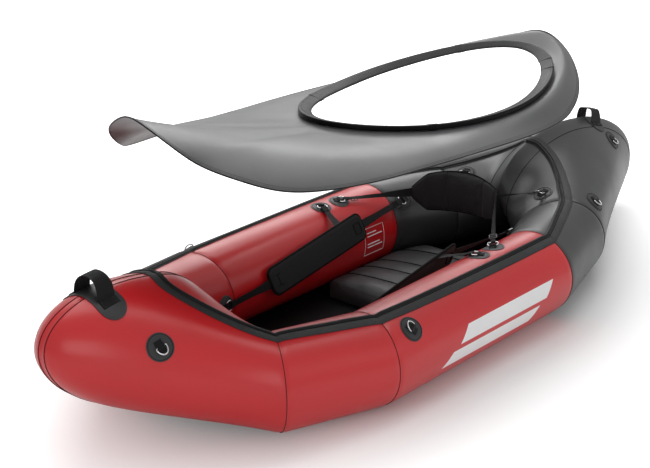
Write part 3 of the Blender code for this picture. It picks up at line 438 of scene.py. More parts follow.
def surface(place, angle):
    wrapped = (place + PANELS) % (2 * PANELS) - PANELS
    point = port_surface(abs(wrapped), angle)
    if wrapped < 0:
        point.y = -point.y
    return point


def surface_normal(place, angle):
    along = surface(place + PLACE_STEP, angle) - surface(place - PLACE_STEP, angle)
    around = surface(place, angle + ANGLE_STEP) - surface(place, angle - ANGLE_STEP)
    return along.cross(around).normalized()


def lifted(place, angle, lift):
    return surface(place, angle) + lift * surface_normal(place, angle)


def seam_pinch(place, angle):
    """How far the skin is drawn in by the nearest seam."""
    nearest = round(place)
    if abs(nearest) == PANELS:
        return 0.0
    ahead = surface(place + PLACE_STEP, angle) - surface(place, angle)
    distance = abs(place - nearest) * ahead.length / PLACE_STEP
    return SEAM_PINCH * exp(-(distance / SEAM_WIDTH) ** 2)


def skin_point(place, angle, lift=0.0):
    return lifted(place, angle, lift - seam_pinch(place, angle))


def surface_search(place, angle, error):
    """The place and angle at which both errors of the hull's point are nothing."""
    for _ in range(SEARCH_ROUNDS):
        first = error(surface(place, angle))
        ahead = error(surface(place + PLACE_STEP, angle))
        aside = error(surface(place, angle + ANGLE_STEP))
        by_place = [(far - near) / PLACE_STEP for far, near in zip(ahead, first)]
        by_angle = [(far - near) / ANGLE_STEP for far, near in zip(aside, first)]
        size = by_place[0] * by_angle[1] - by_place[1] * by_angle[0]
        place -= (first[0] * by_angle[1] - first[1] * by_angle[0]) / size
        angle -= (first[1] * by_place[0] - first[0] * by_place[1]) / size
    return place, angle


def hull_frame(place, angle, aim):
    """Axes on the hull: Z outward, Y the way aim points, X across it."""
    normal = surface_normal(place, angle)
    pull = (aim - aim.dot(normal) * normal).normalized()
    return axes_at(surface(place, angle), pull.cross(normal), pull, normal)


def draped(place, angle, axes, right, forward):
    """The hull's point below a point of the plane that axes lays on it."""
    inverse = axes.inverted()

    def error(point):
        local = inverse @ point
        return local.x - right, local.y - forward

    return surface(*surface_search(place, angle, error))


def on_top(start, angle, along, across, lift):
    found = surface_search(start, angle, lambda point: (point.x - along, point.y + abs(across)))
    point = surface(*found)
    point.y = across
    return point + UP * (lift / max(surface_normal(*found).z, cosine(60)))


def inner_wall(along, height):
    found = surface_search(*WALL_START, lambda point: (point.x - along, point.z - height))
    return -surface(*found).y


# Nodes

def feed(tree, made, given):
    """Sets a node's inputs to values, or joins them to other nodes' outputs."""
    for key, value in given.items():
        if isinstance(value, bpy.types.NodeSocket):
            tree.links.new(value, made.inputs[key])
        else:
            made.inputs[key].default_value = value


def node(tree, kind, given=None, **settings):
    made = tree.nodes.new(kind)
    for name, value in settings.items():
        setattr(made, name, value)
    feed(tree, made, given or {})
    return made.outputs


def reckon(tree, operation, *values):
    return node(tree, "ShaderNodeMath", dict(enumerate(values)), operation=operation)[0]


def group(name, kind, inputs, outputs):
    """An empty node group. A socket has a number or a colour to begin with, or names its kind."""
    tree = bpy.data.node_groups.new(name, kind)
    for way, sockets in (("INPUT", inputs), ("OUTPUT", outputs)):
        for label, first in sockets.items():
            sort = "Float" if isinstance(first, float) else "Color"
            if isinstance(first, str):
                sort = first
            socket = tree.interface.new_socket(label, in_out=way, socket_type="NodeSocket" + sort)
            if not isinstance(first, str):
                socket.default_value = first
    return tree, tree.nodes.new("NodeGroupInput").outputs, tree.nodes.new("NodeGroupOutput")


def noise(tree, place, scale, detail, distortion=0.0):
    return node(tree, "ShaderNodeTexNoise", {
        "Vector": place, "Scale": scale, "Detail": detail, "Distortion": distortion})["Fac"]


def weave_group():
    """Crossing threads over a piece's cloth map, which is in metres."""
    tree, given, made = group("Woven threads", "ShaderNodeTree", {"Thread": 0.0006},
                              {"Height": "Float"})
    cloth_map = node(tree, "ShaderNodeUVMap", uv_map="cloth")[0]
    parts = node(tree, "ShaderNodeSeparateXYZ", {0: cloth_map})
    waves = []
    for axis in (0, 1):
        threads = reckon(tree, "DIVIDE", parts[axis], given["Thread"])
        waves.append(reckon(tree, "SINE", reckon(tree, "MULTIPLY", threads, pi)))
    feed(tree, made, {"Height": reckon(tree, "ABSOLUTE", reckon(tree, "MULTIPLY", *waves))})
    return tree


def tone_group():
    """Cloud-like variation of a colour, as of handled and dusty cloth."""
    tree, given, made = group(
        "Cloth tone", "ShaderNodeTree",
        {"Colour": (0.5, 0.5, 0.5, 1), "Other": (0, 0, 0, 1), "Amount": 0.2, "Scale": 6.0},
        {"Colour": "Color", "Mask": "Float"})
    cloud = noise(tree, node(tree, "ShaderNodeTexCoord")["Object"], given["Scale"], 5)
    mask = node(tree, "ShaderNodeMapRange", {"Value": cloud, "From Min": 0.25, "From Max": 0.75},
                interpolation_type="SMOOTHSTEP")[0]
    mixed = node(tree, "ShaderNodeMix", {
        "Factor": reckon(tree, "MULTIPLY", mask, given["Amount"]),
        "A": given["Colour"], "B": given["Other"],
    }, data_type="RGBA")["Result"]
    feed(tree, made, {"Colour": mixed, "Mask": mask})
    return tree


def crease_group():
    """Soft puckers of coated cloth."""
    tree, given, made = group("Cloth creases", "ShaderNodeTree", {"Scale": 14.0},
                              {"Height": "Float"})
    place = node(tree, "ShaderNodeTexCoord")["Object"]
    stretched = node(tree, "ShaderNodeMapping", {"Vector": place, "Scale": (1.0, 1.6, 2.2)})[0]
    feed(tree, made, {"Height": noise(tree, stretched, given["Scale"], 3, 0.5)})
    return tree


# Finishes

WEAVE = weave_group()
TONE = tone_group()
CREASE = crease_group()
LOOK = {}


def cloth(name, colour, roughness, other=None, amount=0.3, tone_scale=5.0, thread=0.0007,
          weave=0.15, crease=0.25, crease_scale=16.0, sheen=0.0, coat=0.0, metallic=0.0,
          shine=0.5):
    """A finish with thread, creases and uneven colour and gloss."""
    made = bpy.data.materials.new(name)
    made.use_nodes = True
    tree = made.node_tree
    other = other or [value * 0.6 for value in colour]
    tone = node(tree, "ShaderNodeGroup", node_tree=TONE)
    tone = tone[0].node
    feed(tree, tone, {"Colour": (*colour, 1), "Other": (*other, 1), "Amount": amount,
                      "Scale": tone_scale})
    gloss = node(tree, "ShaderNodeMapRange", {
        "Value": tone.outputs["Mask"], "To Min": roughness - 0.05, "To Max": roughness + 0.06})
    puckers = node(tree, "ShaderNodeGroup", {"Scale": crease_scale}, node_tree=CREASE)
    soft = node(tree, "ShaderNodeBump", {
        "Strength": crease, "Distance": 0.004, "Height": puckers[0]})
    threads = node(tree, "ShaderNodeGroup", {"Thread": thread}, node_tree=WEAVE)
    fine = node(tree, "ShaderNodeBump", {
        "Strength": weave, "Distance": thread / 3, "Height": threads[0], "Normal": soft[0]})
    feed(tree, tree.nodes["Principled BSDF"], {
        "Base Color": tone.outputs["Colour"], "Roughness": gloss[0], "Normal": fine[0],
        "Metallic": metallic, "Specular IOR Level": shine, "Sheen Weight": sheen,
        "Sheen Roughness": 0.4, "Coat Weight": coat, "Coat Roughness": 0.25,
    })
    LOOK[name] = made


cloth("hull_red", (0.62, 0.011, 0.015), 0.34, (0.52, 0.008, 0.012), 0.35, weave=0.06, coat=0.40,
      crease=0.12, crease_scale=9.0)
cloth("hull_grey", (0.034, 0.035, 0.036), 0.36, (0.025, 0.026, 0.027), 0.5, weave=0.04,
      coat=0.20, crease=0.12, crease_scale=9.0)
cloth("seam_red", (0.035, 0.002, 0.0025), 0.75)
cloth("seam_black", (0.001, 0.001, 0.001), 0.9, shine=0.1)
cloth("floor_black", (0.003, 0.003, 0.0035), 0.6, (0.006, 0.006, 0.0065), 0.6, shine=0.2)
cloth("strip_tape", (0.022, 0.023, 0.024), 0.60, thread=0.0012, weave=0.5, crease=0.1)
cloth("zip_cover", (0.002, 0.002, 0.0025), 0.36, thread=0.0008, weave=0.3, shine=0.3)
cloth("zip_teeth", (0.030, 0.030, 0.032), 0.35, weave=0.0, crease=0.0)
cloth("patch_black", (0.028, 0.029, 0.031), 0.45, crease=0.1)
cloth("patch_grey", (0.026, 0.027, 0.029), 0.42, crease=0.15)
cloth("patch_inner", (0.062, 0.063, 0.066), 0.42, crease=0.1)
cloth("webbing_black", (0.006, 0.006, 0.0065), 0.68, thread=0.0016, weave=0.9, crease=0.05,
      sheen=0.06, shine=0.25)
cloth("pad_black", (0.014, 0.014, 0.0155), 0.60, (0.020, 0.020, 0.022), 0.6, thread=0.0011,
      weave=0.6, crease=0.3, crease_scale=24.0, sheen=0.05, shine=0.25)
cloth("binding_black", (0.002, 0.002, 0.002), 0.8, thread=0.0009, weave=0.7, shine=0.2)
cloth("mat_grey", (0.048, 0.048, 0.051), 0.50, (0.034, 0.034, 0.036), 0.5, crease=0.25,
      crease_scale=26.0, coat=0.05)
cloth("deck_grey", (0.086, 0.087, 0.089), 0.36, (0.072, 0.073, 0.075), 0.5, crease=0.18,
      crease_scale=6.0, coat=0.15)
cloth("deck_hem", (0.080, 0.081, 0.083), 0.38, crease=0.18, crease_scale=6.0, coat=0.12)
cloth("coaming_black", (0.001, 0.001, 0.0012), 0.35, (0.002, 0.002, 0.0022), 0.5,
      thread=0.0009, weave=0.2, coat=0.12, shine=0.12)
cloth("thread_grey", (0.055, 0.055, 0.058), 0.7)
cloth("thread_black", (0.001, 0.001, 0.001), 0.9, shine=0.1)
cloth("ring_steel", (0.80, 0.80, 0.82), 0.20, (0.60, 0.60, 0.62), 0.4, tone_scale=90.0,
      weave=0.0, crease=0.0, metallic=1.0)
cloth("buckle_black", (0.022, 0.022, 0.023), 0.20, weave=0.0, crease=0.0, coat=0.3)
cloth("valve_black", (0.010, 0.010, 0.011), 0.40, (0.020, 0.020, 0.021), 0.5, tone_scale=60.0,
      weave=0.0, crease=0.05, crease_scale=300.0)
cloth("print_white", (0.92, 0.92, 0.92), 0.42, (0.84, 0.83, 0.83), 0.5)


# Meshes

def box_map(mesh):
    """A cloth map in metres, each face seen along its own main axis."""
    layer = mesh.uv_layers.new(name="cloth")
    for face in mesh.polygons:
        sizes = [abs(value) for value in face.normal]
        across, up = ((1, 2), (0, 2), (0, 1))[sizes.index(max(sizes))]
        for loop in face.loop_indices:
            place = mesh.vertices[mesh.loops[loop].vertex_index].co
            layer.data[loop].uv = (place[across], place[up])


def add(name, mesh, look, body, stands_for=(), sharp=40.0):
    """A finished piece at the origin, with its finish and its body."""
    mesh.materials.clear()
    mesh.materials.append(LOOK[look])
    mesh.polygons.foreach_set("use_smooth", [True] * len(mesh.polygons))
    mesh.set_sharp_from_angle(angle=radians(sharp))
    item = bpy.data.objects.new(name, mesh)
    bpy.context.scene.collection.objects.link(item)
    if stands_for:
        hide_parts(*stands_for)
    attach(item, body)
    return item


def piece(name, points, faces, look, body="hull", stands_for=(), flat=None, sharp=40.0):
    """A piece with outward faces, and the given cloth map or one of its own."""
    mesh = bpy.data.meshes.new(name)
    mesh.from_pydata([tuple(point) for point in points], [], faces)
    if flat:
        layer = mesh.uv_layers.new(name="cloth")
        for face, corners in zip(mesh.polygons, flat):
            for loop, corner in zip(face.loop_indices, corners):
                layer.data[loop].uv = corner
    else:
        box_map(mesh)
    work = bmesh.new()
    work.from_mesh(mesh)
    bmesh.ops.recalc_face_normals(work, faces=work.faces)
    work.to_mesh(mesh)
    work.free()
    return add(name, mesh, look, body, stands_for, sharp)


def lengths(points):
    """Running length along a row of points."""
    run = [0.0]
    for before, after in zip(points[:-1], points[1:]):
        run.append(run[-1] + (after - before).length)
    return run


def grid(rows, ring_rows=False, ring_columns=False, first=0):
    """Faces of a grid of points, and their corners in the cloth map."""
    width = len(rows[0])
    middle = width // 2
    down = lengths([row[middle] for row in rows] + ([rows[0][middle]] if ring_rows else []))
    over = [lengths(row + ([row[0]] if ring_columns else [])) for row in rows]
    faces = []
    flat = []
    for row in range(len(rows) - (not ring_rows)):
        below = (row + 1) % len(rows)
        for column in range(width - (not ring_columns)):
            beside = (column + 1) % width
            faces.append([first + line * width + spot for line, spot in (
                (row, column), (row, beside), (below, beside), (below, column))])
            flat.append([(over[line][column + right], down[row + under]) for line, right, under in (
                (row, 0, 0), (row, 1, 0), (below, 1, 1), (below, 0, 1))])
    return faces, flat


def row_normals(rows, ring_rows=False):
    """A normal at each point of a grid."""
    made = []
    for index, row in enumerate(rows):
        if ring_rows:
            above, below = rows[index - 1], rows[(index + 1) % len(rows)]
        else:
            above, below = rows[max(index - 1, 0)], rows[min(index + 1, len(rows) - 1)]
        line = []
        for column in range(len(row)):
            across = row[min(column + 1, len(row) - 1)] - row[max(column - 1, 0)]
            line.append(across.cross(below[column] - above[column]).normalized())
        made.append(line)
    return made


def shell(name, rows, thickness, look, body="hull", stands_for=(), ring_rows=False, side=1.0,
          sharp=40.0):
    """A closed sheet of cloth: a grid and the same grid laid off along its normals.

    Side 1 keeps the grid as the lower face, 0 as the middle and -1 as the upper one.
    """
    normals = row_normals(rows, ring_rows)
    low = thickness * (side - 1) / 2
    top, under = [
        [[point + normal * lift for point, normal in zip(*pair)] for pair in zip(rows, normals)]
        for lift in (low + thickness, low)
    ]
    width = len(rows[0])
    size = width * len(rows)
    faces, flat = grid(top, ring_rows)
    more, again = grid(under, ring_rows, first=size)
    faces += [face[::-1] for face in more]
    flat += [corners[::-1] for corners in again]
    rims = []
    for row in range(len(rows) - (not ring_rows)):
        here, below = row * width, (row + 1) % len(rows) * width
        rims += [(here, below), (below + width - 1, here + width - 1)]
    if not ring_rows:
        last = size - width
        for column in range(width - 1):
            rims += [(column + 1, column), (last + column, last + column + 1)]
    faces += [(start, end, end + size, start + size) for start, end in rims]
    flat += [((0, 0),) * 4] * len(rims)
    points = [point for row in top + under for point in row]
    return piece(name, points, faces, look, body, stands_for, flat, sharp)


def loft(name, rows, look, body="hull", stands_for=(), ring_rows=False, sharp=40.0):
    """A closed body through closed sections."""
    faces, flat = grid(rows, ring_rows, True)
    points = [point for row in rows for point in row]
    if not ring_rows:
        for row, first in ((rows[0], 0), (rows[-1], (len(rows) - 1) * len(rows[0]))):
            centre = len(points)
            points.append(sum(row, Vector()) / len(row))
            for column in range(len(row)):
                faces.append((first + column, first + (column + 1) % len(row), centre))
                flat.append(((0, 0),) * 3)
    return piece(name, points, faces, look, body, stands_for, flat, sharp)


def rounded(points, closed=True):
    """Corners cut twice, so that a line of points is round."""
    for _ in range(2):
        ends = zip(points, points[1:] + points[:1]) if closed else zip(points[:-1], points[1:])
        cut = [] if closed else [points[0]]
        for start, end in ends:
            cut += [start.lerp(end, 0.25), start.lerp(end, 0.75)]
        points = cut if closed else cut + [points[-1]]
    return points


def tube_rows(path, radius, closed=True, sides=12, up=UP):
    """Round sections along a path."""
    rows = []
    for index, point in enumerate(path):
        before = path[index - 1] if closed or index else path[0]
        after = path[(index + 1) % len(path)] if closed or index < len(path) - 1 else path[-1]
        ahead = (after - before).normalized()
        side = ahead.cross(up).normalized()
        rise = side.cross(ahead)
        rows.append([point + radius * (cos(turn) * side + sin(turn) * rise)
                     for turn in turns(sides)])
    return rows


# Runs of beads, stitches and teeth

def run_tree(name, inputs, build):
    """Turns paths of edges into what build sets along a curve, in one finish."""
    tree, given, made = group(
        name, "GeometryNodeTree", {"Geometry": "Geometry", **inputs, "Finish": "Material"},
        {"Geometry": "Geometry"})
    curve = node(tree, "GeometryNodeMeshToCurve", {"Mesh": given["Geometry"]})
    whole = node(tree, "GeometryNodeRealizeInstances", {0: build(tree, given, curve[0])})
    finish = node(tree, "GeometryNodeSetMaterial", {
        "Geometry": whole[0], "Material": given["Finish"]})
    feed(tree, made, {"Geometry": finish[0]})
    return tree


def bead_nodes(tree, given, curve):
    section = node(tree, "GeometryNodeCurvePrimitiveCircle", {
        "Resolution": 8, "Radius": given["Radius"]})
    return node(tree, "GeometryNodeCurveToMesh", {
        "Curve": curve, "Profile Curve": section[0], "Fill Caps": True})[0]


def stitch_nodes(tree, given, curve):
    """Short threads or teeth, lengthwise or along the path's stored side."""
    spaced = node(tree, "GeometryNodeResampleCurve", {
        "Curve": curve, "Length": given["Spacing"]}, mode="LENGTH")
    thread = node(tree, "GeometryNodeMeshUVSphere", {"Segments": 6, "Rings": 4, "Radius": 1.0})
    radius = given["Radius"]
    size = node(tree, "ShaderNodeCombineXYZ", {
        0: radius, 1: radius, 2: reckon(tree, "MULTIPLY", given["Length"], 0.5)})
    side = node(tree, "GeometryNodeInputNamedAttribute", {"Name": "side"}, data_type="FLOAT_VECTOR")
    aim = node(tree, "ShaderNodeMix", {
        "Factor": given["Crosswise"], "A": node(tree, "GeometryNodeInputTangent")[0],
        "B": side["Attribute"],
    }, data_type="VECTOR")
    turned = node(tree, "FunctionNodeAlignRotationToVector", {"Vector": aim["Result"]}, axis="Z")
    return node(tree, "GeometryNodeInstanceOnPoints", {
        "Points": spaced[0], "Instance": thread["Mesh"], "Rotation": turned[0],
        "Scale": size[0]})[0]


BEAD = run_tree("Bead", {"Radius": 0.001}, bead_nodes)
STITCH = run_tree("Stitches", {"Spacing": 0.005, "Length": 0.003, "Radius": 0.0004,
                               "Crosswise": 0.0}, stitch_nodes)
RUNS = {}


def lay(kind, paths, look, radius, body="hull", closed=True, aims=None):
    """Asks for a run along each path. Pieces are made of them at the end."""
    RUNS.setdefault((kind, body, look, radius), []).extend((path, closed, aims) for path in paths)


def bead(paths, radius, look, body="hull", closed=True):
    lay("bead", paths, look, radius, body, closed)


def stitches(paths, look="thread_grey", body="hull", closed=False):
    lay("stitches", paths, look, STITCH_RADIUS, body, closed)


def evaluated_mesh(item):
    graph = bpy.context.evaluated_depsgraph_get()
    return bpy.data.meshes.new_from_object(item.evaluated_get(graph))


def make_runs():
    """One piece for each kind, body, finish and radius of all runs."""
    for count, ((kind, body, look, radius), paths) in enumerate(RUNS.items(), 1):
        points = []
        edges = []
        sides = []
        for path, closed, aims in paths:
            first = len(points)
            points += [tuple(point) for point in path]
            sides += aims or [UP] * len(path)
            edges += [(first + step, first + step + 1) for step in range(len(path) - 1)]
            if closed:
                edges.append((len(points) - 1, first))
        mesh = bpy.data.meshes.new(kind)
        mesh.from_pydata(points, edges, [])
        store = mesh.attributes.new("side", "FLOAT_VECTOR", "POINT")
        store.data.foreach_set("vector", [value for aim in sides for value in aim])
        item = bpy.data.objects.new(kind, mesh)
        bpy.context.scene.collection.objects.link(item)
        run = item.modifiers.new("Run", "NODES")
        run.node_group = BEAD if kind == "bead" else STITCH
        wanted = {"Finish": LOOK[look], "Radius": radius} | RUN_SIZES[kind]
        for socket in run.node_group.interface.items_tree:
            if socket.in_out == "INPUT" and socket.name in wanted:
                run[socket.identifier] = wanted[socket.name]
        bpy.context.view_layer.update()
        made = evaluated_mesh(item)
        bpy.data.objects.remove(item, do_unlink=True)
        add(kind + "_" + body + "_" + str(count), made, look, body)


# Stuffed pieces

def puffed(item, pinned, cell, pressure, limit, look, stands_for, frames=18):
    """Swells a sewn cover between its pinned seams and gives the finished piece."""
    name = item.name
    cells = item.modifiers.new("Cells", "REMESH")
    cells.mode = "VOXEL"
    cells.voxel_size = cell
    item.data = evaluated_mesh(item)
    item.modifiers.clear()
    mesh = item.data
    rest = [vertex.co.copy() for vertex in mesh.vertices]
    held = item.vertex_groups.new(name="seams")
    for index, place in enumerate(rest):
        if pinned(place):
            held.add([index], 1.0, "REPLACE")
    cover = item.modifiers.new("Cover", "CLOTH")
    for setting, value in {
        "quality": 6, "mass": 0.2, "tension_stiffness": 12, "compression_stiffness": 12,
        "shear_stiffness": 6, "bending_stiffness": 0.6, "use_pressure": True,
        "uniform_pressure_force": pressure, "vertex_group_mass": "seams",
    }.items():
        setattr(cover.settings, setting, value)
    cover.settings.effector_weights.gravity = 0
    cover.point_cache.frame_start = 1
    cover.point_cache.frame_end = frames
    for frame in range(1, frames + 1):
        bpy.context.scene.frame_set(frame)
    mesh = evaluated_mesh(item)
    for vertex, place in zip(mesh.vertices, rest):
        shift = vertex.co - place
        if shift.length > limit:
            vertex.co = place + shift * (limit / shift.length)
    bpy.context.scene.frame_set(1)
    bpy.data.objects.remove(item, do_unlink=True)
    box_map(mesh)
    made = add(name, mesh, look, "hull", stands_for, 60.0)
    finer = made.modifiers.new("Finer", "SUBSURF")
    finer.levels = 1
    finer.render_levels = 1
    return made


# Hull

def panel_places(index):
    """Places of one panel's rows, close together beside its seams."""
    length = lengths([surface(index + step / 16, 90) for step in range(17)])[-1]
    ends = [distance / length for distance in SEAM_ROWS if distance / length < 0.45]
    inner = 1 - 2 * ends[-1]
    steps = max(2, round(inner * length / SKIN_ROW_SPACE))
    middle = [ends[-1] + inner * step / steps for step in range(1, steps)]
    return [index + share for share in ends + middle + [1 - end for end in ends[::-1]]][:-1]


def ring_row(place, lift=0.0):
    return [skin_point(place, angle, lift) for angle in SKIN_ANGLES]


def centre_line(place, angle, half):
    """A point of the hull's skin at a small way to port of the middle."""
    for _ in range(SEARCH_ROUNDS):
        here = surface(place, angle).y + half
        ahead = surface(place + PLACE_STEP, angle).y + half
        place -= here * PLACE_STEP / (ahead - here)
    return lifted(place, angle, SEAM_BEAD / 3)


def make_hull():
    port = [place for index in range(PANELS) for place in panel_places(index)]
    red = [place for place in port if place <= 3] + [3.0]
    grey = [place for place in port if place >= 3]
    for shade, places, panels in (
        ("red", [-place for place in red[:0:-1]] + red, PANEL_NAMES[:3]),
        ("grey", grey + [5.0] + [-place for place in grey[::-1]], PANEL_NAMES[3:]),
    ):
        nodes = ["hull_" + name + "_" + side_name(side) for name in panels for side in (-1, 1)]
        loft("hull_skin_" + shade, [ring_row(place) for place in places], "hull_" + shade,
             stands_for=nodes, sharp=70.0)
    for place, look in ((1, "seam_red"), (2, "seam_red"), (3, "seam_red"), (4, "seam_black")):
        for side in (-1, 1):
            bead([ring_row(side * place, SEAM_BEAD / 2)], SEAM_BEAD, look)
    for start, half, look in ((0.02, BOW_TAPE_HALF, "seam_red"),
                              (4.9, STERN_PANEL_HALF, "seam_black")):
        line = [centre_line(start, angle, half) for angle in SKIN_ANGLES]
        bead([line, [Vector((point.x, -point.y, point.z)) for point in line]], SEAM_BEAD, look)


def make_floor():
    rows = []
    for step, place in enumerate(spread(*FLOOR_PLACES, FLOOR_ROWS)):
        edge = surface(place, FLOOR_ANGLE)
        sag = FLOOR_DROP * sin(pi * step / FLOOR_ROWS)
        rows.append([
            Vector((edge.x, edge.y * share, edge.z + FLOOR_RISE - sag * (1 - share ** 2)))
            for share in spread(1, -1, FLOOR_COLUMNS)
        ])
    item = shell("floor_sheet_cloth", rows, FLOOR_THICKNESS, "floor_black",
                 stands_for=("floor_sheet",))


# Attachment strip

def strip_point(place, across=0.0, lift=0.0):
    angle = blend(STRIP_ANGLE_SHARES, abs(place))
    around = surface(place, angle + ANGLE_STEP) - surface(place, angle - ANGLE_STEP)
    angle += across / around.length * 2 * ANGLE_STEP
    return skin_point(place, angle, lift)


def ring_places(per_panel):
    """Places all the way round, from the bow aft to port and back to starboard."""
    port = [index + step / per_panel for index in range(PANELS) for step in range(per_panel)]
    return port + [float(PANELS)] + [-place for place in port[:0:-1]]


def make_strip():
    """A band with a covered zip beside its middle."""
    rows, cover, middle, sides, groove = [], [], [], [], []
    inset = STRIP_HALF_WIDTH - EDGE_INSET
    edges = ([], [])
    for place in ring_places(STRIP_ROWS_PER_PANEL):
        rows.append([strip_point(place, across, lift) for across, lift in STRIP_PROFILE])
        centre = strip_point(place, ZIP_OFFSET, STRIP_TOP)
        side = (strip_point(place, 0.016) - strip_point(place, 0.008)).normalized()
        up = (strip_point(place, ZIP_OFFSET, 0.01) - strip_point(place, ZIP_OFFSET)).normalized()
        cover.append([centre + side * (ZIP_RADIUS * cos(turn))
                      + up * (ZIP_RADIUS * ZIP_FLATNESS * sin(turn)) for turn in turns(12)])
        middle.append(strip_point(place, ZIP_OFFSET, STRIP_TOP + ZIP_RADIUS * ZIP_TEETH_SHARE))
        sides.append(side)
        groove.append(strip_point(place, STRIP_GROOVE, STRIP_TOP))
        for line, across in zip(edges, (-inset, inset)):
            line.append(strip_point(place, across, 0.0028))
    loft("deck_strip_tape", rows, "strip_tape", stands_for=("deck_strip",), ring_rows=True)
    loft("deck_zip_tape", cover, "zip_cover", ring_rows=True)
    lay("teeth", [middle], "zip_teeth", TOOTH_RADIUS, aims=sides)
    bead([groove], 0.0009, "thread_black")
    stitches(edges, closed=True)


# Anchors

def disc(name, place, angle, axes, radius, look, stands_for, rim):
    """A welded patch with a rounded edge, and a weld at a rim's width from it."""
    normal = axes.to_3x3() @ UP
    centre = draped(place, angle, axes, 0, 0)
    rings = []
    for share in [ring / PATCH_RINGS for ring in range(1, PATCH_RINGS + 1)]:
        rings.append([draped(place, angle, axes, radius * share * cos(turn),
                             radius * share * sin(turn)) for turn in turns(PATCH_SIDES)])
    edge = rings[-1]
    rings[-1] = [centre.lerp(point, 1 - PATCH_BEVEL / radius) for point in edge]
    rows = [[point + normal * LAY_GAP * 0.4 for point in edge],
            [point + normal * (PATCH_TOP - 0.0005) for point in edge]]
    rows += [[point + normal * PATCH_TOP for point in ring] for ring in rings[::-1]]
    points = [point for row in rows for point in row] + [centre + normal * PATCH_TOP]
    faces, _ = grid(rows, False, True)
    top = len(points) - 1
    last = top - PATCH_SIDES
    faces += [(last + step, last + (step + 1) % PATCH_SIDES, top) for step in range(PATCH_SIDES)]
    faces.append(tuple(range(PATCH_SIDES))[::-1])
    piece(name, points, faces, look, stands_for=stands_for, sharp=30.0)
    line = [centre.lerp(point, 1 - rim / radius) + normal * PATCH_TOP for point in edge]
    bead([line], 0.0007, "thread_black")


def make_tab(name, axes):
    """Webbing folded over a ring's bar and sewn down on both sides."""
    radius = WIRE_RADIUS + BORE_CLEARANCE + TAB_WALL / 2
    foot = PATCH_TOP + TAB_WALL / 2
    path = [(-ahead, foot + up) for ahead, up in TAB_FEET]
    path += [(radius * cosine(turn), BAR_HEIGHT + radius * sine(turn))
             for turn in range(165, 0, -15)]
    path += [(ahead, foot + up) for ahead, up in TAB_FEET[::-1]]
    rows = [[axes @ Vector((TAB_HALF_WIDTH * share, ahead, up)) for share in (-1, -0.5, 0, 0.5, 1)]
            for ahead, up in path]
    shell(name, rows, TAB_WALL, "webbing_black", side=0.0, sharp=50.0)
    for end in (-1, 1):
        stitches([[axes @ Vector((TAB_HALF_WIDTH * share, end * ahead, foot + TAB_WALL / 2))
                   for share, ahead in TAB_BOX]], closed=True)


def ring_of_wire(name, outline, matrix, body, stands_for=()):
    path = [matrix @ point for point in rounded([Vector(point) for point in outline])]
    rows = tube_rows(path, WIRE_RADIUS, up=matrix.to_3x3() @ UP)
    loft(name, rows, "ring_steel", body, stands_for, True, 60.0)


def make_outer_anchor(key, side):
    place, angle, aim, raised = OUTER_ANCHOR_SHARES[key]
    place = -side * place
    axes = hull_frame(place, angle, Vector(aim))
    name = key + "_" + side_name(side)
    disc("tie_patch_disc_" + name, place, angle, axes, TIE_PATCH_RADIUS, "patch_black",
         ("tie_patch_" + name,), 0.004)
    make_tab("tie_tab_" + name, axes)
    half = D_RING_HALF_WIDTH
    outline = [(half * share, 0, 0) for share in (-1, -0.5, 0.5, 1)]
    outline += [(half * cosine(turn), D_RING_DEPTH * sine(turn), 0) for turn in range(16, 170, 12)]
    pivot = axes @ Matrix.Translation((0, 0, BAR_HEIGHT)) @ Matrix.Rotation(radians(raised), 4, "X")
    ring_of_wire("d_ring_wire_" + name, outline, pivot, "d_ring_" + name, ("d_ring_" + name,))


def make_inner_anchor(key, side, target):
    """A patch with a ring held up to its strap; gives the ring's far bar and its way."""
    place, angle = INNER_ANCHOR_SHARES[key]
    place = -side * place
    axes = hull_frame(place, angle, target - surface(place, angle))
    name = key + "_" + side_name(side)
    look = "patch_inner" if abs(place) < 3 else "patch_black"
    disc("anchor_disc_" + name, place, angle, axes, PATCH_RADIUS, look, ("anchor_" + name,), 0.006)
    make_tab("anchor_tab_" + name, axes)
    pivot = axes @ Matrix.Translation((0, 0, BAR_HEIGHT))
    local = pivot.inverted() @ target
    pivot = pivot @ Matrix.Rotation(max(atan2(local.z, local.y), radians(4)), 4, "X")
    half = LINK_HALF_WIDTH
    outline = [Vector((across, ahead, 0)) for across, ahead in (
        (-half, 0), (half, 0), (half, LINK_DEPTH), (-half, LINK_DEPTH))]
    cut = []
    for start, end in zip(outline, outline[1:] + outline[:1]):
        share = LINK_CORNER / (end - start).length
        cut += [start.lerp(end, share), start.lerp(end, 1 - share)]
    ring_of_wire("anchor_ring_" + name, cut, pivot, "hull")
    return pivot @ Vector((0, LINK_DEPTH, 0)), pivot.to_3x3() @ Vector((1, 0, 0))


# Straps

def cross_stitch(corners):
    """A sewn rectangle with a cross in it."""
    stitches([corners], closed=True)
    stitches([corners[::2], corners[1::2]])


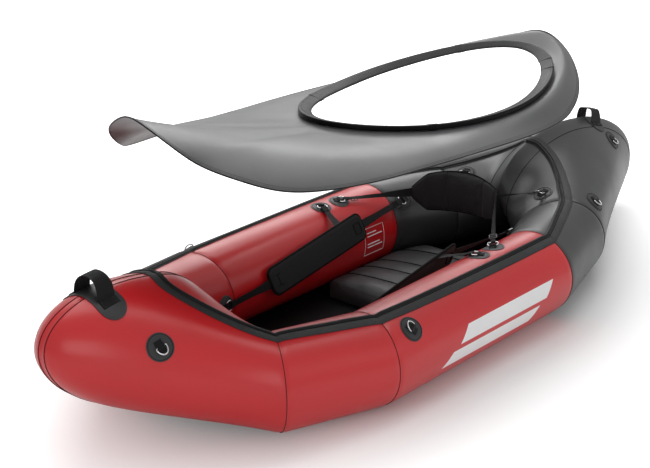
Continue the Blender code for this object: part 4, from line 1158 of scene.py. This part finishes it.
def make_strap(name, start, edge, start_width, end_width, bar, axis, buckle=True):
    """Webbing from a pad's edge to a ring's bar, wrapped round it and sewn back on itself."""
    run = (start - bar).normalized()
    if axis.dot(edge) < 0:
        axis = -axis
    rise = axis.cross(run).normalized()
    reach = WIRE_RADIUS + WEB_WRAP_GAP + WEB_THICKNESS / 2
    knee = run * (2 * WIRE_RADIUS)
    parts = [step / WEB_STEPS for step in range(WEB_STEPS)]
    centres = [start.lerp(bar + run * WEB_TAIL, part) for part in parts]
    sides = [edge.lerp(axis, part) for part in parts]
    widths = [start_width + (end_width - start_width) * min(1.0, part * 2) for part in parts]
    centres += [bar + run * WEB_TAIL, bar + knee + rise * reach]
    centres += [bar - run * reach * sine(turn) + rise * reach * cosine(turn)
                for turn in range(0, 181, 20)]
    centres += [bar + knee - rise * reach,
                bar + run * WEB_TAIL - rise * (WEB_THICKNESS + 0.0004)]
    more = len(centres) - WEB_STEPS
    rows = []
    for centre, side, width in zip(centres, sides + [axis] * more, widths + [end_width] * more):
        across = side.normalized() * width
        rows.append([centre + across * share for share in (-0.5, -0.45, 0, 0.45, 0.5)])
    shell(name + "_web", rows, WEB_THICKNESS, "webbing_black", stands_for=(name,), side=0.0,
          sharp=50.0)
    lift = rise * (WEB_THICKNESS / 2)
    axis = axis.normalized()
    centre = bar + run * (WEB_TAIL - 0.007) + lift
    cross_stitch([centre + run * (0.005 * out) + axis * ((end_width - 0.006) / 2 * up)
                  for out, up in ((-1, -1), (1, -1), (1, 1), (-1, 1))])
    edge = edge.normalized()
    stitches([[start - run * 0.006 + edge * (start_width * share) + lift
               for share in (-0.42, 0.42)]])
    if buckle:
        make_buckle(name + "_buckle", bar + run * (WEB_TAIL + 0.010), run, axis, rise, end_width)


def make_buckle(name, centre, along, across, up, width):
    """A flat three-bar slider on webbing."""
    half = width / 2 + BUCKLE_MARGIN
    reach = BUCKLE_HALF_LENGTH
    bars = [((reach * out, -half), (reach * out, half)) for out in (-1, 0, 1)]
    bars += [((-reach * 1.05, half * end), (reach * 1.05, half * end)) for end in (-1, 1)]
    work = bmesh.new()
    for ends in bars:
        start, end = [centre + along * out + across * wide + up * BUCKLE_LIFT for out, wide in ends]
        rows = tube_rows([start, start.lerp(end, 0.5), end], BUCKLE_WIRE, False, 8, up)
        bar = loft("bar", rows, "buckle_black")
        work.from_mesh(bar.data)
        bpy.data.objects.remove(bar, do_unlink=True)
    mesh = bpy.data.meshes.new(name)
    work.to_mesh(mesh)
    work.free()
    add(name, mesh, "buckle_black", "hull")


# Handles

def make_handle_patch(key, size):
    half = size["patch_half_length"]
    straight = size["patch_half_span"] - half
    spans = [straight * step / 10 for step in range(10)]
    spans += [straight + half * sine(turn) for turn in range(0, 86, 9)]
    spans = [-value for value in spans[:0:-1]] + spans
    widths = [max(sqrt(half ** 2 - max(abs(across) - straight, 0) ** 2), 0.002)
              for across in spans]

    def spot(out, across, lift):
        return on_top(size["start"], size["angle"], size["along"] + out, across, lift)

    rows = [[spot(width * share, across, LAY_GAP / 2)
             for share in (-1.0, -0.96, -0.6, -0.2, 0.2, 0.6, 0.96, 1.0)]
            for across, width in zip(spans, widths)]
    shell(key + "_handle_base", rows, PATCH_THICKNESS + LAY_GAP / 2, "patch_grey",
          stands_for=(key + "_handle_patch",), sharp=60.0)
    for way in (-1, 1):
        stitches([[spot(way * max(width - EDGE_INSET, 0.001), across, PATCH_TOP)
                   for across, width in zip(spans, widths)]])


def make_handle(key, size):
    """A webbing loop: two sewn feet and an arch rolled to a grip between them."""
    lift = PATCH_TOP + HANDLE_THICKNESS / 2
    half_arch = size["half_arch"]
    arch = rounded([Vector((out, up, 0)) for out, up in ((1.0, 0.0),) + size["arch"]], False)
    path = [(half_arch + size["foot"] * share, 0.0) for share in (1.0, 0.7, 0.4, 0.15)]
    path += [(half_arch * point.x, point.y) for point in arch]
    path += [(-out, up) for out, up in path[:-1][::-1]]
    rows = []
    for across, up in path:
        narrow = 1 - HANDLE_NARROWING * max(0.0, up - 0.5)
        row = []
        for share in (-1.0, -0.9, -0.45, 0.0, 0.45, 0.9, 1.0):
            along = size["along"] + size["web_half_width"] * share * narrow
            point = on_top(size["start"], size["angle"], along, across, lift)
            crown = on_top(size["start"], size["angle"], along, 0, lift)
            point.z += (crown.z - point.z) * up + size["height"] * up
            row.append(point)
        rows.append(row)
    shell(key + "_handle_loop", rows, HANDLE_THICKNESS, "webbing_black",
          stands_for=(key + "_handle_webbing",), side=0.0, sharp=60.0)
    for way in (-1, 1):
        cross_stitch([
            on_top(size["start"], size["angle"], size["along"] + size["web_half_width"] * along,
                   way * (half_arch + size["foot"] * out), lift + HANDLE_THICKNESS / 2)
            for out, along in ((0.9, -0.8), (0.9, 0.8), (0.25, 0.8), (0.25, -0.8))
        ])


# Seat mat

MAT_BASE = surface(2.5, -102.857).z


def mat_height(share):
    edges = (0.0,) + MAT_CHANNEL_SHARES + (1.0,)
    for low, high in zip(edges[:-1], edges[1:]):
        if low <= share <= high:
            bulge = sin(pi * (share - low) / (high - low))
            return MAT_HEIGHT - MAT_CHANNEL_DEPTH * (1 - max(bulge, 0.0) ** 0.3)
    return MAT_HEIGHT


def mat_half(along):
    return min(MAT_HALF_WIDTH, inner_wall(along, MAT_BASE + MAT_HEIGHT) - MAT_SIDE_GAP)


def mat_bow(share, column):
    """How far a cross channel bends sternward between the mat's sides."""
    inside = min(max(share, 0.0), 1.0)
    return MAT_CHANNEL_BOW * (1 - column ** 2) * sqrt(inside) * (1 - inside ** 6)


def mat_point(share, column, lift=0.0):
    """A point of the mat's top, column 1 at its starboard edge."""
    along = MAT_FRONT + MAT_LENGTH * share
    edge = sqrt(max(0.0, 1 - abs(column) ** 9))
    height = MAT_CHANNEL_DEPTH + (mat_height(share) - MAT_CHANNEL_DEPTH) * (
        MAT_EDGE_SHARE + (1 - MAT_EDGE_SHARE) * edge)
    return Vector((along + mat_bow(share, column), mat_half(along) * column,
                   MAT_BASE + height + lift))


def make_mat():
    """An air mat: bars between welded cross channels, swollen by the air in them."""
    rows = []
    columns = [sin(pi * (step / MAT_COLUMNS - 0.5)) for step in range(MAT_COLUMNS + 1)]
    for step in range(MAT_ROWS + 1):
        top = [mat_point(0.5 - 0.5 * cos(pi * step / MAT_ROWS), column) for column in columns]
        under = [Vector((point.x, point.y, MAT_BASE + MAT_FLOOR_GAP)) for point in top]
        rows.append(top + under[::-1])
    item = loft("seat_mat_air", rows, "mat_grey")

    def pinned(place):
        share = (place.x - MAT_FRONT) / MAT_LENGTH
        column = place.y / mat_half(place.x)
        near = min(abs(share - edge - mat_bow(edge, column) / MAT_LENGTH)
                   for edge in MAT_CHANNEL_SHARES)
        return place.z < MAT_BASE + 0.006 or near * MAT_LENGTH < 0.004

    item = puffed(item, pinned, 0.0065, 3.0, 0.006, "mat_grey", ("seat_mat",))
    top = BVHTree.FromObject(item, bpy.context.evaluated_depsgraph_get())
    channels = []
    for edge in MAT_CHANNEL_SHARES:
        line = [mat_point(edge, column, MAT_HEIGHT) for column in spread(-0.96, 0.96, 40)]
        channels.append([(top.ray_cast(point, -UP)[0] or point) + UP * MAT_LINE_LIFT
                         for point in line])
    bead(channels, MAT_LINE, "thread_black", closed=False)


# Backrest

def backrest_height(share, bend=1.0):
    """The backrest's middle line, which sags outward and hangs a little lower to starboard."""
    return BACKREST_MIDDLE_Z - BACKREST_SAG * bend - BACKREST_ROLL_SHARE * BACKREST_HALF_SPAN * share


def backrest_along(share):
    return BACKREST_X + (BACKREST_TIP_X - BACKREST_X) * share ** 2


def backrest_section(share):
    panel = BACKREST_PANEL_HALF / BACKREST_HALF_SPAN
    wing = max(0.0, (abs(share) - panel) / (1 - panel))
    bend = min(1.0, abs(share) / panel) ** 2
    half_height = BACKREST_HALF_HEIGHT + (BACKREST_SIDE_HALF_HEIGHT - BACKREST_HALF_HEIGHT) * bend
    tip = BACKREST_TIP_HALF_HEIGHT if share > 0 else BACKREST_PORT_TIP_HALF_HEIGHT
    half_height += (tip - half_height) * wing ** BACKREST_WING_POWER
    half_depth = BACKREST_HALF_THICKNESS + (
        BACKREST_TIP_HALF_THICKNESS - BACKREST_HALF_THICKNESS) * wing
    nearest = min(abs(share - seam) for seam in BACKREST_SEAM_SHARES)
    half_depth *= 1 - BACKREST_SEAM_DEPTH_SHARE * exp(-(nearest / BACKREST_SEAM_WIDTH_SHARE) ** 2)
    section = []
    for turn in turns(BACKREST_SIDES):
        out = abs(cos(turn)) ** 0.75 * (1 if cos(turn) > 0 else -1)
        up = abs(sin(turn)) ** 0.45 * (1 if sin(turn) > 0 else -1)
        section.append(Vector((
            backrest_along(share) + half_depth * out, BACKREST_HALF_SPAN * share,
            backrest_height(share, bend) + half_height * up)))
    return section


def make_backrest():
    sections = [backrest_section(share) for share in spread(-1, 1, BACKREST_ROWS)]
    item = loft("backrest_cover", sections, "pad_black")

    def pinned(place):
        share = place.y / BACKREST_HALF_SPAN
        seams = min(abs(share - seam) for seam in BACKREST_SEAM_SHARES) * BACKREST_HALF_SPAN
        rim = abs(place.x - backrest_along(share)) < 0.003 and abs(share) > 0.97
        return seams < 0.0035 or rim

    item = puffed(item, pinned, 0.0045, 3.5, 0.006, "pad_black", ("backrest",))
    for seam in BACKREST_SEAM_SHARES:
        line = backrest_section(seam)
        middle = sum(line, Vector()) / BACKREST_SIDES
        raised = [point + (point - middle).normalized() * 0.0008 for point in line]
        bead([raised], 0.0012, "binding_black")
        for offset in (-0.0045, 0.0045):
            stitches([[point + Vector((0, offset, 0)) for point in raised]], closed=True)
    for way, lift in ((BACKREST_SIDES // 4, 0.0006), (3 * BACKREST_SIDES // 4, -0.0006)):
        bead([[section[way] + UP * lift for section in sections]], BINDING_RADIUS,
             "binding_black", closed=False)


def make_backrest_straps(side):
    share = BACKREST_STRAP_Y / BACKREST_HALF_SPAN
    for key, edge_width, width, along, across, height in (
        ("side", SIDE_STRAP_WIDTH, NARROW_WEB_WIDTH, BACKREST_TIP_X, BACKREST_HALF_SPAN - 0.004,
         backrest_height(side)),
        ("rear", THIN_WEB_WIDTH, THIN_WEB_WIDTH, backrest_along(share) + BACKREST_HALF_THICKNESS,
         BACKREST_STRAP_Y, backrest_height(side * share, 0.5)),
    ):
        start = Vector((along, side * across, height))
        bar, axis = make_inner_anchor("backrest_" + key, side, start)
        make_strap("backrest_strap_" + key + "_" + side_name(side), start, UP, edge_width, width,
                   bar, axis)


# Thigh pads

def pad_axes(side):
    front = surface(-side * PAD_FRONT_SHARES[0], PAD_FRONT_SHARES[1])
    rear = surface(-side * PAD_REAR_SHARES[0], PAD_REAR_SHARES[1])
    front.y -= side * PAD_FRONT_SPACE
    rear.y -= side * PAD_REAR_SPACE
    along = (rear - front).normalized()
    lean = Vector((0, side * sine(PAD_LEAN), cosine(PAD_LEAN)))
    wide = (lean - lean.dot(along) * along).normalized()
    return axes_at(front.lerp(rear, 0.5), along, wide.cross(along), wide), (rear - front).length


def pad_outline(length, width, corner):
    """A rounded rectangle."""
    outline = []
    for right, up, start in ((1, 1, 0), (-1, 1, 90), (-1, -1, 180), (1, -1, 270)):
        for swing in spread(start, start + 90, 8):
            outline.append((right * (length / 2 - corner) + corner * cosine(swing),
                            up * (width / 2 - corner) + corner * sine(swing)))
    return outline


def make_thigh_pad(side, axes, length):
    def flat_line(outline, depth):
        return [axes @ Vector((x, depth, z)) for x, z in outline]

    name = side_name(side)
    rows = [flat_line(pad_outline(length - 2 * inset, PAD_WIDTH - 2 * inset, PAD_CORNER - inset),
                      depth * PAD_THICKNESS) for depth, inset in PAD_SECTION]
    item = loft("thigh_pad_foam_" + name, rows, "pad_black")
    inverse = axes.inverted()
    window = length / 2 - PAD_WINDOW_INSET

    def pinned(place):
        local = inverse @ place
        edge = min(length / 2 - abs(local.x), PAD_WIDTH / 2 - abs(local.z))
        reach = max(abs(local.x - window) / PAD_WINDOW[0], abs(local.z) / PAD_WINDOW[1])
        return edge < 0.003 or 0.85 < reach < 1.15

    item = puffed(item, pinned, 0.004, 3.0, 0.004, "pad_black", ("thigh_pad_" + name,))
    bead([flat_line(pad_outline(length, PAD_WIDTH, PAD_CORNER), 0)], PAD_THICKNESS * 0.36,
         "binding_black")
    inner = pad_outline(length - 0.014, PAD_WIDTH - 0.014, PAD_CORNER - 0.006)
    square = [(window + PAD_WINDOW[0] * right, PAD_WINDOW[1] * up)
              for right, up in ((-1, -1), (1, -1), (1, 1), (-1, 1))]
    bars = [[(PAD_BAR[0] * right - window, PAD_BAR[1] * up) for right, up in run]
            for run in (((-1, 1), (1, 1)), ((-1, -1), (1, -1)), ((0, -1), (0, 1)))]
    for sign in (-1, 1):
        face = sign * (PAD_THICKNESS / 2 + 0.0012)
        stitches([flat_line(inner, face)], closed=True)
        bead([flat_line(square, face)], PAD_LINE, "binding_black")
        stitches([flat_line(square, face)], closed=True)
        bead([flat_line(bar, face) for bar in bars], PAD_LINE, "binding_black", closed=False)


def make_thigh_set(side):
    axes, length = pad_axes(side)
    make_thigh_pad(side, axes, length)
    along = axes.to_3x3() @ Vector((1, 0, 0))
    wide = axes.to_3x3() @ UP
    reach = length / 2 - PAD_OVERLAP
    top = (length * (PAD_TOP_STRAP_SHARE - 0.5), PAD_WIDTH / 2 - PAD_OVERLAP)
    for key, (x, z), edge in (("front", (-reach, 0), wide), ("pad_top", top, along),
                              ("pad_rear", (reach, 0), wide)):
        start = axes @ Vector((x, 0, z))
        bar, axis = make_inner_anchor(key, side, start)
        make_strap("thigh_strap_" + key.replace("pad_", "") + "_" + side_name(side), start, edge,
                   PAD_STRAP_WIDTH, WEB_WIDTH, bar, axis, key == "pad_rear")


# Coaming

def hole_point(turn):
    """A point of the cockpit hole's edge, and the way out from it."""
    def level(angle):
        across = abs(cos(angle)) ** HOLE_POWER + abs(sin(angle)) ** HOLE_POWER
        reach = across ** (-1 / HOLE_POWER)
        length = HOLE_REAR if cos(angle) > 0 else HOLE_FRONT
        return Vector((HOLE_CENTRE_X + length * cos(angle) * reach,
                       HOLE_HALF_WIDTH * sin(angle) * reach, 0))

    point = level(turn)
    ahead = level(turn + radians(1)) - level(turn - radians(1))
    along = point.x - HOLE_CENTRE_X
    point.z = HOLE_HEIGHT + HOLE_SLOPE * along + HOLE_RISE * along ** 2
    return point, Vector((ahead.y, -ahead.x, 0)).normalized()


def coaming_rows(places, profile):
    rows = []
    for place in places:
        point, outward = hole_point(place)
        rows.append([point + outward * out + UP * up for out, up in profile])
    return rows


def make_coaming():
    edge = COAMING_WIDTH + COAMING_EDGE
    outline = [Vector((out, up, 0)) for out, up in (
        (0.0, -COAMING_DROP), (edge * 0.5, -COAMING_DROP), (edge, -COAMING_DROP),
        (edge, COAMING_RISE * 0.4), (edge, COAMING_RISE),
        (COAMING_WIDTH - COAMING_EDGE, COAMING_RISE),
        (COAMING_WIDTH * 0.4, COAMING_RISE * 0.55), (0.0, COAMING_EDGE / 2),
    )]
    profile = [(point.x, point.y) for point in rounded(outline)]
    places = turns(COAMING_SEGMENTS)
    loft("coaming_sleeve", coaming_rows(places, profile), "coaming_black", "deck",
         ("coaming_rim",), True, 50.0)
    middle = [sum(values) / len(profile) for values in zip(*profile)]
    wider = [[centre + (value - centre) * growth
              for value, centre, growth in zip(point, middle, COAMING_JOINT_GROWTH)]
             for point in profile]
    for count, turn in enumerate(COAMING_JOINT_TURNS):
        point, _ = hole_point(radians(turn))
        swing = COAMING_JOINT_HALF / (point - Vector((HOLE_CENTRE_X, 0, point.z))).length
        joint = [radians(turn) + swing * (step / 4 - 1) for step in range(9)]
        loft("coaming_joint_" + str(count), coaming_rows(joint, wider), "coaming_black", "deck",
             sharp=50.0)
        stitches(coaming_rows((joint[1], joint[-2]), wider), body="deck", closed=True)
    for out, up in ((COAMING_SEAM_INSET, COAMING_EDGE / 2 + 0.0012),
                    (COAMING_WIDTH - COAMING_SEAM_INSET, COAMING_RISE + 0.0004)):
        line = [row[0] for row in coaming_rows(places, [(out, up)])]
        stitches([line], "thread_black", "deck", True)


# Deck

def deck_edge(place):
    reach = DECK_ROUNDING_SHARE * min(1, abs(place), PANELS - abs(place))
    point = Vector((0, 0, DECK_LIFT))
    for step in (-1, -0.5, 0, 0.5, 1):
        spot = place + step * reach
        angle = blend(STRIP_ANGLE_SHARES, abs(spot))
        point += lifted(spot, angle, STRIP_LIFT + STRIP_THICKNESS) / 5
    side = 1 if place < 0 else -1
    point.x += blend(DECK_EDGE_SHARES, abs(place), 1) * DECK_CURL
    point.y += side * blend(DECK_EDGE_SHARES, abs(place), 2) * DECK_CURL
    point.z += blend(DECK_EDGE_SHARES, abs(place), 3) * DECK_CURL
    return point


def deck_edges(places):
    """The whole edge, its corners eased, and hanging a little lower by the port quarter."""
    line = [deck_edge(place) for place in places]
    reach = (PANELS - DECK_STERN_REACH, PANELS + DECK_STERN_REACH)
    pulls = [max(0.5 * swell(abs(place), *DECK_EASED), DECK_BOW_PULL,
                 DECK_STERN_PULL * swell(abs(place), *reach)) for place in places]
    for _ in range(DECK_EASING_ROUNDS):
        line = [
            point + pull * ((line[index - 1] + line[(index + 1) % len(line)]) / 2 - point)
            for index, (point, pull) in enumerate(zip(line, pulls))
        ]
    for point, place in zip(line, places):
        point.z -= DECK_LOW_DROP * swell(place, *DECK_LOW)
    return line


def deck_row(place, end):
    """Cloth from under the coaming to its edge."""
    from_stern = blend(DECK_TURN_SHARES, abs(place))
    start, outward = hole_point(radians(from_stern if place < 0 else -from_stern))
    tuck = COAMING_WIDTH + COAMING_EDGE - DECK_TUCK
    start = start + outward * tuck - UP * (COAMING_DROP + LAY_GAP + DECK_THICKNESS)
    first = start + outward * DECK_TUCK
    width = (end - first).length
    level = Vector((end.x - first.x, end.y - first.y, 0)).normalized()
    leave_out, leave_up, meet_out, meet_down = [
        blend(DECK_SLOPE_SHARES, abs(place), column) for column in (1, 2, 3, 4)
    ]
    leaving = (outward * leave_out + UP * leave_up) * width
    arriving = (level * meet_out - UP * meet_down) * width
    return [start] + [hermite(first, end, leaving, arriving, step / DECK_STEPS)
                      for step in range(DECK_STEPS + 1)]


def make_deck():
    places = ring_places(DECK_ROWS_PER_PANEL)
    rows = [deck_row(place, end) for place, end in zip(places, deck_edges(places))]
    item = shell("deck_cloth", rows, DECK_THICKNESS, "deck_grey", "deck", ("deck_skin",), True,
                 side=-1.0, sharp=70.0)
    ends = [(row[-1], (row[-1] - row[-2]).normalized()) for row in rows]
    hem = [[end - ahead * DECK_HEM, end - ahead * DECK_HEM / 2, end] for end, ahead in ends]
    shell("deck_edge_tape", hem, DECK_HEM_THICKNESS, "deck_hem", "deck", (), True, side=0.0,
          sharp=60.0)
    bead([[end + ahead * 0.0015 for end, ahead in ends]], BINDING_RADIUS, "zip_cover", "deck")
    stitches([[end - ahead * inset + UP * 0.0012 for end, ahead in ends]
              for inset in (DECK_HEM - 0.002, 0.004)], "thread_black", "deck", True)


# Valve

def make_valve():
    place, angle = VALVE_SHARES
    axes = hull_frame(place, angle, UP)
    disc("valve_flange", place, angle, axes, VALVE_PATCH_RADIUS, "valve_black", ("valve_body",),
         0.004)

    def ring(out, up, count, grip=0.0):
        row = []
        for step, turn in enumerate(turns(count)):
            reach = out - (grip if step % 4 in (0, 1) else 0.0)
            row.append(axes @ Vector((reach * cos(turn), reach * sin(turn), up)))
        return row

    neck = VALVE_NECK_RADIUS
    foot = LAY_GAP + PATCH_THICKNESS / 2
    rows = [ring(out, foot + up, 40) for out, up in (
        (neck + 0.003, 0.0), (neck + 0.001, 0.001), (neck, 0.0), (neck, VALVE_NECK_HEIGHT))]
    loft("valve_neck", rows, "valve_black", sharp=30.0)
    inner = neck + SEAT_GAP
    outer = inner + VALVE_CAP_WALL
    low = PATCH_TOP + SEAT_GAP + 0.0008
    high = low + VALVE_CAP_HEIGHT - 0.0008
    ledge = foot + VALVE_NECK_HEIGHT + SEAT_GAP
    profile = [(inner, ledge), (inner, low), (outer, low), (outer, high - 0.002),
               (outer - 0.0006, high - 0.0006), (outer - 0.002, high), (inner * 0.72, high),
               (inner * 0.66, high - 0.0012), (0.0006, high - 0.0012)]
    rows = [ring(out, up, 72, VALVE_GRIP_DEPTH if index in (2, 3) else 0.0)
            for index, (out, up) in enumerate(profile)]
    loft("valve_cap_grip", rows, "valve_black", "valve_cap", ("valve_cap",), sharp=30.0)
    ridge = [axes @ Vector((inner * 0.6 * share, 0, high - 0.0004)) for share in (-1, 0, 1)]
    loft("valve_cap_ridge", tube_rows(ridge, 0.0016, False, 8, axes.to_3x3() @ UP),
         "valve_black", "valve_cap")


# Plain print

def side_place(along):
    """The hull place at a way along the straight side panel."""
    return 2 + (along - SIDE_START) / (SIDE_END - SIDE_START)


def make_stripes(side):
    """Two long stripes with slanted ends, printed on the tube's outer side."""
    for count, (low, high, start, end) in enumerate(STRIPES):
        rows = []
        for along in spread(start, end, 60):
            row = []
            for part, angle in enumerate(spread(low, high, 8)):
                place = side_place(along + STRIPE_SLANT * (part / 8 - 0.5))
                row.append(skin_point(-side * place, angle, 0.0002))
            rows.append(row if side < 0 else row[::-1])
        shell("side_stripe_" + str(count + 1) + "_" + side_name(side), rows, STRIPE_THICKNESS,
              "print_white", sharp=60.0)


def make_label():
    """An outlined box with plain bars in it, printed inside the starboard tube."""
    def spot(across, up):
        along, angle = [low + (high - low) * share
                        for (low, high), share in ((LABEL_X, across), (LABEL_ANGLES, up))]
        return skin_point(-side_place(along), angle, LABEL_LINE / 4)

    corners = ((0, 0), (1, 0), (1, 1), (0, 1))
    outline = []
    for start, end in zip(corners, corners[1:] + corners[:1]):
        for part in range(10):
            outline.append(spot(*[first + (last - first) * part / 10
                                  for first, last in zip(start, end)]))
    bead([outline], LABEL_LINE, "print_white")
    for up, start, end in LABEL_BARS:
        bead([[spot(across, up) for across in spread(start, end, 8)]], LABEL_LINE * 2,
             "print_white", closed=False)


# Stage

def staged(name, data):
    item = bpy.data.objects.new(name, data)
    bpy.context.scene.collection.objects.link(item)
    return item


def make_camera():
    lens = bpy.data.cameras.new("view")
    lens.lens = LENS
    lens.sensor_width = 36
    item = staged("view", lens)
    ahead = heading(VIEW_YAW, -VIEW_PITCH)
    right = Vector((sine(VIEW_YAW), -cosine(VIEW_YAW), 0))
    item.matrix_world = axes_at(VIEW_PLACE, right, right.cross(ahead), -ahead)
    bpy.context.scene.camera = item


def make_lights():
    for name, (place, aim, size, power) in PANEL_LIGHTS.items():
        lamp = bpy.data.lights.new(name, "AREA")
        lamp.shape = "RECTANGLE"
        lamp.size, lamp.size_y = size
        lamp.energy = power
        item = staged(name, lamp)
        item.location = place
        aim = Vector(aim) - Vector(place)
        item.rotation_euler = aim.to_track_quat("-Z", "Y").to_euler()


def seen_or_lit(tree, lit, seen, out):
    """One shader for what the camera sees, and another for all other light."""
    rays = node(tree, "ShaderNodeLightPath")["Is Camera Ray"]
    mix = node(tree, "ShaderNodeMixShader", {"Fac": rays, 1: lit, 2: seen})
    feed(tree, tree.nodes[out], {"Surface": mix[0]})


def make_room():
    """Even light from all sides, and plain white behind the raft."""
    scene = bpy.context.scene
    scene.view_settings.view_transform = "Standard"
    world = bpy.data.worlds.new("studio")
    scene.world = world
    world.use_nodes = True
    tree = world.node_tree
    air = tree.nodes["Background"]
    feed(tree, air, {"Color": (1, 1, 1, 1), "Strength": ROOM_LIGHT})
    white = node(tree, "ShaderNodeBackground", {"Color": (1, 1, 1, 1), "Strength": 1.0})
    seen_or_lit(tree, air.outputs[0], white[0], "World Output")


def make_ground():
    """Paper under the raft, which fades to white away from it for the camera."""
    mesh = bpy.data.meshes.new("ground")
    corners = [(GROUND * x, GROUND * y, 0) for x, y in ((-1, -1), (1, -1), (1, 1), (-1, 1))]
    mesh.from_pydata(corners, [], [(0, 1, 2, 3)])
    paper = bpy.data.materials.new("ground")
    paper.use_nodes = True
    tree = paper.node_tree
    shader = tree.nodes["Principled BSDF"]
    feed(tree, shader, {"Base Color": (0.85, 0.85, 0.85, 1), "Roughness": 0.9})
    place = node(tree, "ShaderNodeTexCoord")["Object"]
    narrow = node(tree, "ShaderNodeMapping", {
        "Vector": place, "Scale": (1 / GROUND_LENGTH, 1 / GROUND_WIDTH, 0)})
    reach = node(tree, "ShaderNodeVectorMath", {0: narrow[0]}, operation="LENGTH")
    fade = node(tree, "ShaderNodeMapRange", {
        "Value": reach["Value"], "From Min": GROUND_FADE[0], "From Max": GROUND_FADE[1],
        "To Min": GROUND_GLOW, "To Max": 1.0})
    glow = node(tree, "ShaderNodeEmission", {"Strength": fade[0]})
    both = node(tree, "ShaderNodeAddShader", {0: shader.outputs[0], 1: glow[0]})
    seen_or_lit(tree, shader.outputs[0], both[0], "Material Output")
    mesh.materials.append(paper)
    staged("ground", mesh)


# Build

make_hull()
make_floor()
make_strip()
for side in (-1, 1):
    for key in OUTER_ANCHOR_SHARES:
        make_outer_anchor(key, side)
    make_thigh_set(side)
    make_backrest_straps(side)
    make_stripes(side)
for key, size in HANDLES.items():
    make_handle_patch(key, size)
    make_handle(key, size)
make_mat()
make_backrest()
make_coaming()
make_deck()
make_valve()
make_label()
make_runs()
make_room()
make_ground()
make_lights()
make_camera()
